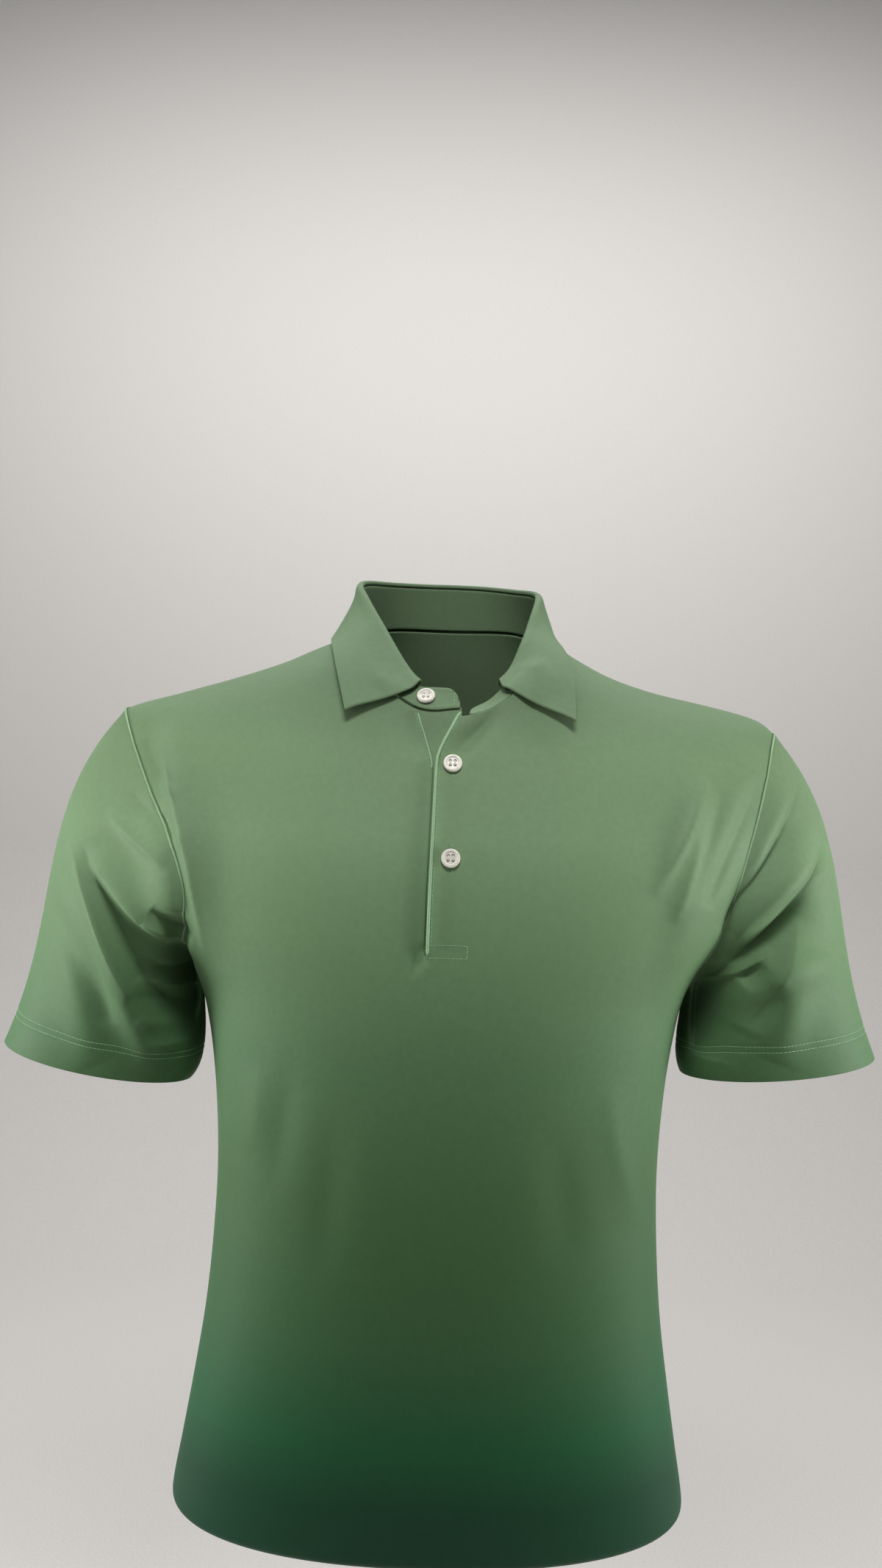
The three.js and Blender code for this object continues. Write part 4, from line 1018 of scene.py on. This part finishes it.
def leaf_section(share):
    half = share * 2 if share <= 0.5 else (1 - share) * 2
    side = -1 if share <= 0.5 else 1
    start = front_neck_at(LEAF_START[side])
    passed = mix(start, 1, half * 2) if half <= 0.5 else half * 2
    at = passed if side < 0 else 4 - passed
    top = stand_point(at, 1, 1)
    along = unit(stand_point(at + NEAR, 1, 1) - stand_point(at - NEAR, 1, 1))
    up = top - stand_point(at, 0, 1)
    up = unit(up - along * (up @ along))
    outward = -np.cross(along, up)
    seat = top + up * LEAF_GAP - outward * WALL
    turned = seat + outward * ROLL_WIDTH - up * ROLL_DROP
    roll = [seat, seat + up * ROLL_RISE, turned + up * ROLL_RISE, turned]
    row = LEAF_EDGE[side]
    across, over, lift = (read(row, "at", half, name) for name in ("across", "over", "lift"))
    below, normal = surface_frame(rising_point, across, over)
    edge = below + normal * lift
    length = np.linalg.norm(edge - turned)
    sag = np.array(LEAF_SAG[side]) * smooth(1 - half / LEAF_SAG_FADE)
    fall = [
        turned,
        turned - up * FALL_DOWN * length + sag,
        mix(edge, turned, FALL_IN) + normal * FALL_BULGE * length,
        edge,
    ]
    rolled = bezier(roll, np.arange(ROLL_STEPS) / ROLL_STEPS)
    return np.concatenate([rolled, bezier(fall, np.arange(FALL_STEPS + 1) / FALL_STEPS)])


print("the leaf falls from", ROLL_RISE, "mm above the stand")

# %% [markdown]
# ### Keeping the leaf clear
# The points of the stand and the body below are gathered with their directions. A leaf point that lies
# too near moves out, and its neighbours follow a little, as stiff cloth does. A Shrinkwrap modifier could
# do this in one step, but it pulls as well as pushes, and the leaf would lie flat like a sticker.

# %% Leaf kept clear


def outside_neck(across, over):
    t = np.linspace(0, 1, NECK_SAMPLES)
    front_line, back_line = bezier(FRONT_NECK, t), bezier(BACK_NECK, t)
    low = np.interp(np.abs(across), front_line[:, 0], front_line[:, 1])
    high = np.interp(np.abs(across), back_line[:, 0], back_line[:, 1])
    return (np.abs(across) >= NECK_ACROSS) | (over <= low) | (over >= high)


def under_leaf():
    across, over = (v.ravel() for v in np.meshgrid(PROBE_ACROSS, PROBE_OVER))
    kept = outside_neck(across, over)
    body = surface_frame(rising_point, across[kept], over[kept])
    share, at = (v.ravel() for v in np.meshgrid(PROBE_SHARE, PROBE_AT))
    band = surface_frame(lambda s, a: stand_point(a, s, 1), share, at)
    return np.concatenate([body[0], band[0]]), np.concatenate([body[1], band[1]])


def beside_sum(grid):
    padded = np.pad(grid, ((1, 1), (1, 1), (0, 0)))
    return padded[:-2, 1:-1] + padded[2:, 1:-1] + padded[1:-1, :-2] + padded[1:-1, 2:]


def push_clear(grid, points, normals, tree):
    ends = np.minimum(np.arange(len(grid)), np.arange(len(grid))[::-1]) / len(grid)
    clear = mix(LEAF_CLEAR, LEAF_END_CLEAR, smooth(1 - ends / LEAF_END_SHARE))
    nearest = np.array([[tree.find(p)[1] for p in row] for row in grid])
    away = np.einsum("ijk,ijk->ij", grid - points[nearest], normals[nearest])
    short = np.maximum(COLLAR_WALL + clear[:, None] - away, 0)
    short[:, :ROLL_STEPS] = 0
    push = normals[nearest] * short[..., None]
    beside = beside_sum(push) / beside_sum(np.ones_like(push))
    longer = np.linalg.norm(push, axis=2) > np.linalg.norm(beside, axis=2)
    moved = np.where(longer[..., None], push, beside)
    moved[:, :ROLL_STEPS] = 0
    return grid + moved


def refine(grid, times):
    for axis in (0, 1):
        rows = np.moveaxis(grid, axis, 0)
        at = np.linspace(0, len(rows) - 1, (len(rows) - 1) * times + 1)
        i = np.minimum(at.astype(int), len(rows) - 2)
        slopes = np.gradient(rows, axis=0)
        rows = hermite(rows[i], slopes[i], rows[i + 1], slopes[i + 1], (at - i)[:, None, None])
        grid = np.moveaxis(rows, 0, axis)
    return grid


leaf_rows = np.stack([leaf_section(column / LEAF_COLUMNS) for column in range(LEAF_COLUMNS + 1)])
leaf_under, leaf_under_normals = under_leaf()
leaf_tree = kdtree.KDTree(len(leaf_under))
for count, point in enumerate(leaf_under):
    leaf_tree.insert(point, count)
leaf_tree.balance()
for _ in range(PUSHES):
    leaf_rows = push_clear(leaf_rows, leaf_under, leaf_under_normals, leaf_tree)
leaf_rows = refine(leaf_rows, REFINE)
add_cloth("collar", grid_sheet(leaf_rows, True, lengths_uv(leaf_rows, 0)), COLLAR_WALL)

# %% [markdown]
# ## Under placket
# The strip behind the opening carries the buttons. It starts under the wearer's right edge, passes below
# the left one and ends at the top behind the tab's lower edge. It could be a second wall of the front,
# but it is cut and sewn as a strip of its own, so it is one here too.

# %% Under placket
PLACKET_BOTTOM = -206
PLACKET_END = {"bottom": 10, "top": 7}
PLACKET_RISE = 1.5
PLACKET_TUCK = 5
PLACKET_DROP = WALL + 0.5
PLACKET_ROWS, PLACKET_COLUMNS = 12, 4


def surface_at(x, z):
    over = over_of_height(z)
    return surface_frame(rising_point, across_at(x, over), over)


def placket_grid():
    share = np.linspace(0, 1, PLACKET_ROWS + 1)
    over = mix(over_of_height(PLACKET_BOTTOM), FRONT_NECK_OVER, share)
    z = rising_point(0, over)[..., 2]
    start = read(OPENING, "z", z, "right") - PLACKET_TUCK
    end = mix(PLACKET_END["bottom"], PLACKET_END["top"], share)
    x = mix(start[:, None], end[:, None], np.linspace(0, 1, PLACKET_COLUMNS + 1))
    point, normal = surface_at(x, z[:, None] + 0 * x)
    rows = point - normal * (PLACKET_DROP + DIP * beside_opening(z)[:, None, None])
    last = []
    for along in rows[-1, :, 0]:
        at = front_neck_at(-along) if along <= 0 else -front_neck_at(along)
        rise = unit(stand_point(at, 1, 1) - neck_seam(at))
        inward = np.array([0, rise[2], -rise[1]])
        last.append(stand_point(at, 0, 1) + rise * PLACKET_RISE + inward * PLACKET_DROP)
    return refine(np.concatenate([rows, [last]]), REFINE)


placket_rows = placket_grid()
placket_uv = lengths_uv(placket_rows, PLACKET_COLUMNS * REFINE // 2)
add_cloth("placket_under", grid_sheet(placket_rows, uv=placket_uv), WALL)

# %% [markdown]
# ## Buttons
# Three cast and turned discs with a shallow dish, four holes and a raised rim, which has one plain
# turned ring. Light thread runs through the holes in two bars. The holes could be cut out, but a turned
# grid whose points sink at the holes keeps clean faces and smooth edges.

# %% Buttons
BUTTON_RADIUS = 5.8
BUTTON_GAP, TAB_BUTTON_GAP = 0.35, 0.7
DISH_RADIUS, AXIS_RADIUS = 3.4, 0.02
DISH_STEPS, RIM_STEPS, AROUND = 35, 21, 96
BUTTON_PROFILE = table(
    "r z",
    (0, 1.7),
    (DISH_RADIUS, 1.72),
    (3.9, 1.95),
    (4.2, 2.35),
    (4.5, 2.42),
    (4.78, 2.38),
    (4.9, 2.24),
    (5.02, 2.36),
    (5.3, 2.28),
    (5.6, 1.95),
    (BUTTON_RADIUS, 1.4),
)
BUTTON_BACK = ((BUTTON_RADIUS, 5.65, 5.2, AXIS_RADIUS), (0.6, 0.2, 0, 0))
HOLE_RADIUS, HOLE_PITCH, HOLE_DEPTH, HOLE_EDGE = 0.85, 1.5, 1.5, 0.12
THREAD_RADIUS, THREAD_HEIGHT, THREAD_SHIFTS = 0.2, 1.78, (-0.3, 0, 0.3)
THREAD_SIDES, THREAD_RINGS = 8, 3
TIP_SHARE = 0.02


def in_frame(points, place, normal, up):
    right = unit(np.cross(up, normal))
    return place + points @ np.stack([right, np.cross(normal, right), normal])


def lathe(profile_r, profile_z):
    angle = np.arange(AROUND + 1) * 2 * np.pi / AROUND
    r, z = np.asarray(profile_r)[:, None], np.asarray(profile_z)[:, None]
    return np.stack([r * np.cos(angle), r * np.sin(angle), z + 0 * angle], -1)


def button_rows():
    dish = np.linspace(AXIS_RADIUS, DISH_RADIUS, DISH_STEPS + 1)
    r = np.concatenate([dish, np.linspace(DISH_RADIUS, BUTTON_RADIUS, RIM_STEPS + 1)[1:]])
    top = lathe(r, read(BUTTON_PROFILE, "r", r, "z"))
    for x in (-HOLE_PITCH, HOLE_PITCH):
        for y in (-HOLE_PITCH, HOLE_PITCH):
            off = np.hypot(top[..., 0] - x, top[..., 1] - y)
            top[..., 2] -= HOLE_DEPTH * smooth((HOLE_RADIUS + HOLE_EDGE - off) / (2 * HOLE_EDGE))
    return np.concatenate([top, lathe(*BUTTON_BACK)])


def capsule(start, end, normal, radius, sides, rings):
    length = np.linalg.norm(end - start)
    along = (end - start) / length
    side = np.cross(normal, along)
    bend = np.linspace(0, np.pi / 2, rings + 1)
    offsets = np.concatenate([-np.cos(bend[:-1]) * radius, length + np.sin(bend) * radius])
    radii = np.concatenate([np.sin(bend[:-1]) * radius, np.cos(bend) * radius])
    radii[0] = radii[-1] = radius * TIP_SHARE
    turn = np.linspace(0, 2 * np.pi, sides + 1)
    round_turn = np.cos(turn)[:, None] * side + np.sin(turn)[:, None] * normal
    return start + along * offsets[:, None, None] + round_turn[None] * radii[:, None, None]


def closed_mesh(name, grids, material):
    points, quads, _ = stack_sheets([join_sheets([grid_sheet(grid)]) for grid in grids])
    piece = add_piece(name, points, quads, None, material)
    return piece


def add_button(name, place, normal, up):
    disc = closed_mesh(name + "_disc", [in_frame(button_rows(), place, normal, up)], RESIN)
    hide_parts(name)
    bars = []
    for column in (-HOLE_PITCH, HOLE_PITCH):
        for shift in THREAD_SHIFTS:
            ends = [[column + shift, y, THREAD_HEIGHT] for y in (-HOLE_PITCH, HOLE_PITCH)]
            start, end = in_frame(np.array(ends), place, normal, up)
            bars.append(capsule(start, end, normal, THREAD_RADIUS, THREAD_SIDES, THREAD_RINGS))
    closed_mesh(name + "_thread", bars, BUTTON_THREAD)


BUTTON_PLACES = {"button_middle": (1.7, -80.5), "button_lower": (2.2, -137.5)}
TAB_BUTTON_X = -16.5
TAB_MIDDLE = 0.5
for name, button_at in BUTTON_PLACES.items():
    point, normal = surface_at(*button_at)
    add_button(name, point + normal * BUTTON_GAP, normal, np.array([0, 0, 1.0]))
tab_at = front_neck_at(-TAB_BUTTON_X)
tab_point = stand_point(tab_at, TAB_MIDDLE, 1)
tab_up = stand_point(tab_at, 1, 1) - stand_point(tab_at, 0, 1)
tab_normal = unit(np.cross(stand_point(tab_at - NEAR, TAB_MIDDLE, 1) - tab_point, tab_up))
add_button("button_top", tab_point + tab_normal * TAB_BUTTON_GAP, tab_normal, unit(tab_up))

# %% [markdown]
# ## Sewing
# Polo shirts of smooth jersey are sewn with few visible rows: a row 2 to 3 mm inside both edges of the
# opening, one along the tab and the stand's left end, a flat box that closes the placket at its lower
# end, two rows round each sleeve hem and a bar at each end of a buttonhole. A stitch is a short capsule
# of thread, half sunk into the cloth, and its neighbours leave a small gap. Folded edges of the opening
# and the armhole seams stand up as a thin pressed roll, which catches the light. Rolls and thread are
# coloured lighter than the cloth, as a painted highlight. A bump could draw all this, but it would
# vanish at the outline, so rows and rolls are shapes that follow the cloth.

# %% Stitches and rolls
STITCH_PITCH, BOX_PITCH, TAB_END_PITCH = 2.7, 2.2, 2.4
STITCH_SHARE = 0.72
STITCH_RADIUS, STITCH_SINK, STITCH_LIFT = 0.24, 0.06, 0.4
STITCH_SIDES, STITCH_RINGS = 6, 2
ROLL_SIDES = 8
ROLL_END = 0.02

sewn = {}


def walk(path, pitch):
    steps = np.linalg.norm(np.diff(path, axis=0), axis=1)
    along = np.concatenate([[0], np.cumsum(steps)])
    count = max(int(along[-1] / pitch), 1)
    at = (np.arange(count) + 0.5) * along[-1] / count
    half = pitch * STITCH_SHARE / 2
    tips = [np.stack([np.interp(tip, along, axis) for axis in path.T], -1) for tip in (at - half, at + half)]
    return *tips, at / along[-1]


def stitch_row(path, normals, pitch=STITCH_PITCH):
    normals = np.broadcast_to(normals, path.shape)
    starts, ends, shares = walk(path, pitch)
    normals = normals[np.round(shares * (len(path) - 1)).astype(int)]
    lift = normals * (STITCH_RADIUS * STITCH_LIFT - STITCH_SINK)
    rows = zip(starts + lift, ends + lift, normals)
    return [capsule(*row, STITCH_RADIUS, STITCH_SIDES, STITCH_RINGS) for row in rows]


def add_sewn(name, grids, on, material=THREAD):
    sewn.setdefault(on, []).append(closed_mesh(name, grids, material))


def add_roll(name, path, normals, radius, lift, on):
    side = unit(np.cross(normals, unit(np.gradient(path, axis=0))))
    run = np.cumsum(np.linalg.norm(np.diff(path, axis=0, prepend=path[:1]), axis=1))
    taper = np.sqrt(np.clip(np.minimum(run, run[-1] - run) / (2 * radius), ROLL_END**2, 1))[:, None]
    turn = np.linspace(0, 2 * np.pi, ROLL_SIDES + 1)[:, None, None]
    ring = (np.cos(turn) * side + np.sin(turn) * normals) * radius * taper
    # the roll's colour is a painted highlight, lighter than the cloth
    add_sewn(name, [(path + normals * lift + ring).swapaxes(0, 1)], on, PRESSED_HIGHLIGHT)


print("a stitch is", round(STITCH_PITCH * STITCH_SHARE, 1), "mm long")

# %% [markdown]
# ### On the front
# The rows beside the opening, the box and the bars of the buttonholes lie on the same surface as the
# front itself, lip and dip included, so none of them floats or sinks.

# %% Sewing on the front
# each row beside the opening: its edge, how far inside, the lowest and highest z, and points
OPENING_ROWS = (("left", 2.6, -188, -49, 120), ("right", -2.2, -86, -47, 40))
BOX = ((-9.2, -189), (13.8, -189), (13.8, -196.5), (-9.2, -196.5))
BOX_POINTS = 30
BUTTONHOLE_ENDS = {"button_middle": (-7.4,), "button_lower": (7.4, -7.4)}
BAR_HALF, BAR_RADIUS, BAR_SHIFTS = 1.4, 0.26, (-0.5, 0, 0.5)


def on_front(x, z, side):
    point, normal = surface_at(x, z)
    return with_edges(with_folds(point), side), normal


def along_opening(edge, inside, lowest, highest, points):
    z = np.linspace(lowest, highest, points)
    return on_front(read(OPENING, "z", z, edge) + inside, z, 1 if edge == "left" else -1)


def front_stitches():
    stitches = []
    for row in OPENING_ROWS:
        stitches += stitch_row(*along_opening(*row))
    for (x1, z1), (x2, z2) in zip(BOX, BOX[1:]):
        t = np.linspace(0, 1, BOX_POINTS)
        stitches += stitch_row(*on_front(mix(x1, x2, t), mix(z1, z2, t), 1), BOX_PITCH)
    for name, ends in BUTTONHOLE_ENDS.items():
        x, z = BUTTON_PLACES[name]
        for up in (end + shift for end in ends for shift in BAR_SHIFTS):
            points, normals = on_front(np.array([x - BAR_HALF, x + BAR_HALF]), np.full(2, z + up), 1)
            stitches.append(capsule(*points, normals[0], BAR_RADIUS, STITCH_SIDES, STITCH_RINGS))
    return stitches


add_sewn("front_sewing", front_stitches(), "front")

# %% [markdown]
# ### On the stand
# The stand is a grid already, so its rows are found by place along it and height across it.

# %% Sewing on the stand
# each row on the stand: its first and last place and points
STAND_ROW_PLACES = ((STAND_START + 0.035, 0.16, 60), (3.74, STAND_STOP - 0.03, 30))
STAND_INSET = 2.0
TAB_END_POINTS = 12
stand_normals = -unit(np.cross(np.gradient(stand_rows, axis=1), np.gradient(stand_rows, axis=0)))


def on_stand(at, height):
    """The stand's surface at places along it, at heights in mm from its lower edge or its upper one."""
    column = np.interp(at, stand_places, np.arange(len(stand_places)))
    i = np.minimum(column.astype(int), len(stand_places) - 2)
    t = (column - i)[:, None]
    profile = mix(stand_rows[:, i], stand_rows[:, i + 1], t).swapaxes(0, 1)
    normal = mix(stand_normals[:, i], stand_normals[:, i + 1], t).swapaxes(0, 1)
    up = np.cumsum(np.linalg.norm(np.diff(profile, axis=1, prepend=profile[:, :1]), axis=2), 1)
    height = np.where(height < 0, up[:, -1] + height, height)
    share = np.array([np.interp(h, u, np.arange(len(u))) for h, u in zip(height, up)])
    j = np.minimum(share.astype(int), profile.shape[1] - 2)
    f = (share - j)[:, None]
    k = np.arange(len(at))
    return mix(profile[k, j], profile[k, j + 1], f), unit(mix(normal[k, j], normal[k, j + 1], f))


def stand_stitches():
    stitches = []
    for first, last, points in STAND_ROW_PLACES:
        at = np.linspace(first, last, points)
        for inset in (STAND_INSET, -STAND_INSET):
            stitches += stitch_row(*on_stand(at, np.full(points, inset)))
    tab_end = np.full(2, STAND_ROW_PLACES[0][0])
    (lower, upper), facing = on_stand(tab_end, np.array([STAND_INSET, -STAND_INSET]))
    path = mix(lower, upper, np.linspace(0, 1, TAB_END_POINTS)[:, None])
    return stitches + stitch_row(path, facing[0], TAB_END_PITCH)


add_sewn("stand_sewing", stand_stitches(), "collar_stand")

# %% [markdown]
# ### Edges, hems and armholes
# The left edge of the opening has the bolder roll, as it lies on top. A sleeve carries its own seam,
# since the seam allowance is pressed towards it.

# %% Edges, hems and armholes
HEM_SKIP = 2
OPENING_ROLLS = {
    "front_left_edge": (("left", 0.9, -195, -47, 150), 0.95, 0.25),
    "front_right_edge": (("right", -0.7, -84, -47, 40), 0.7, 0.1),
}
SEAM_ROLL = (0.7, 0.1)


def hem_stitches(rows, normals):
    off = from_hem(rows)
    steps = np.arange(len(off))
    k = np.arange(rows.shape[1])
    stitches = []
    for height in HEM_ROWS:
        at = np.array([np.interp(height, column[::-1], steps[::-1]) for column in off.T])
        i = np.minimum(at.astype(int), len(off) - 2)
        path = mix(rows[i, k], rows[i + 1, k], (at - i)[:, None])
        stitches += stitch_row(path[HEM_SKIP:-HEM_SKIP], normals[i, k][HEM_SKIP:-HEM_SKIP])
    return stitches


for name, (where, radius, lift) in OPENING_ROLLS.items():
    add_roll(name, *along_opening(*where), radius, lift, "front")
for name, (_, _, rows, normals) in sleeves.items():
    add_sewn(name + "_sewing", hem_stitches(rows, normals), name)
    add_roll(name + "_seam", rows[0], unit(normals[0]), *SEAM_ROLL, name)

# %% [markdown]
# ## Light and backdrop
# The photo was made in a plain grey studio. A small lamp high in front shines steeply down, so that
# every crease throws a shade; a weak one in front fills it, and two low narrow ones brighten the sides
# of the body. Large soft lamps would be simpler, but they flood the creases. The shirt hangs in the air
# before a sweep of matt paper, which shows no highlights, with a wide lamp of its own.

# %% Light and backdrop
# place, aim and size in metres, watts, and spread in degrees
LIGHTS = {
    "key": ((0, -0.85, 0.98), (0, -0.1, -0.2), (0.5, 0.3), 14, 180),
    "left": ((-1.2, -0.2, -0.38), (-0.1, 0, -0.5), (0.4, 0.7), 3.6, 80),
    "right": ((1.2, -0.2, -0.38), (0.1, 0, -0.5), (0.4, 0.7), 3.7, 80),
    "front": ((-0.7, -1.4, 0.3), (0, 0, -0.2), (0.6, 0.6), 2.5, 180),
    "backdrop": ((0, 0.6, 1.5), (0, 1.9, -1.6), (2.6, 0.6), 44, 180),
}
FLOOR_Z, SWEEP_TOP = -0.95, 4.0
SWEEP_NEAR, SWEEP_FAR = -3.0, 1.9
SWEEP_HALF = 5.0
SWEEP_BEND, SWEEP_STEPS = 0.7, 16
PAPER_ROUGHNESS = 0.9
WORLD_COLOUR, WORLD_STRENGTH = "#d6d4d1", 0.09


def add_light(name, place, aim, size, power, spread):
    data = bpy.data.lights.new(name, "AREA")
    data.shape = "RECTANGLE"
    data.size, data.size_y = size
    data.energy = power
    data.spread = math.radians(spread)
    lamp = bpy.data.objects.new(name, data)
    lamp.location = place
    lamp.rotation_euler = (Vector(aim) - Vector(place)).to_track_quat("-Z", "Y").to_euler()
    bpy.context.scene.collection.objects.link(lamp)


def add_sweep():
    bend = np.linspace(0, np.pi / 2, SWEEP_STEPS + 1)
    y = np.concatenate([[SWEEP_NEAR], SWEEP_FAR - SWEEP_BEND * (1 - np.sin(bend)), [SWEEP_FAR]])
    z = np.concatenate([[0], SWEEP_BEND * (1 - np.cos(bend)), [SWEEP_TOP]]) + FLOOR_Z
    x = np.array([-SWEEP_HALF, SWEEP_HALF])
    grid = np.stack(np.broadcast_arrays(x, y[:, None], z[:, None]), -1)
    paper = plain_material("paper backdrop, matt", "#cfccc9", PAPER_ROUGHNESS, PULP_MM)
    return add_mesh("backdrop", *grid_sheet(grid)[:2], None, paper)


for name, light in LIGHTS.items():
    add_light(name, *light)
add_sweep()
world = bpy.data.worlds.new("studio")
world.use_nodes = True
background = world.node_tree.nodes["Background"].inputs
background["Color"].default_value = linear(WORLD_COLOUR)
background["Strength"].default_value = WORLD_STRENGTH
bpy.context.scene.world = world
bpy.context.scene.view_settings.view_transform = "Standard"
print(len(LIGHTS), "lamps")

# %% [markdown]
# ## How each cloth piece is cut
# Every panel is cut flat from jersey. The sizes are those of the cut of what shows, measured along the
# cloth and all round on a sleeve: width and length in metres, the area, how it is held, and on what.

# %% Cuts
CUTS = {
    "front_cloth": ((0.572, 0.666), 0.258, "hung", ["back"]),
    "back_cloth": ((0.556, 0.672), 0.272, "hung", ["front"]),
    "sleeve_left_cloth": ((0.476, 0.236), 0.057, "hung", ["front", "back"]),
    "sleeve_right_cloth": ((0.516, 0.246), 0.0655, "hung", ["front", "back"]),
    "collar_stand_cloth": ((0.476, 0.034), 0.0105, "draped", ["front", "back"]),
    "collar_cloth": ((0.475, 0.076), 0.0215, "folded", ["collar_stand"]),
    "placket_under_cloth": ((0.171, 0.031), 0.0043, "hung", ["front"]),
}
for name, (flat, area, held, rests_on) in CUTS.items():
    piece = bpy.data.objects[name]
    both_sides = sum(face.area for face in piece.data.polygons)
    print(name, "is cut from", area, "m2; one side measures", round(both_sides / 2, 4))
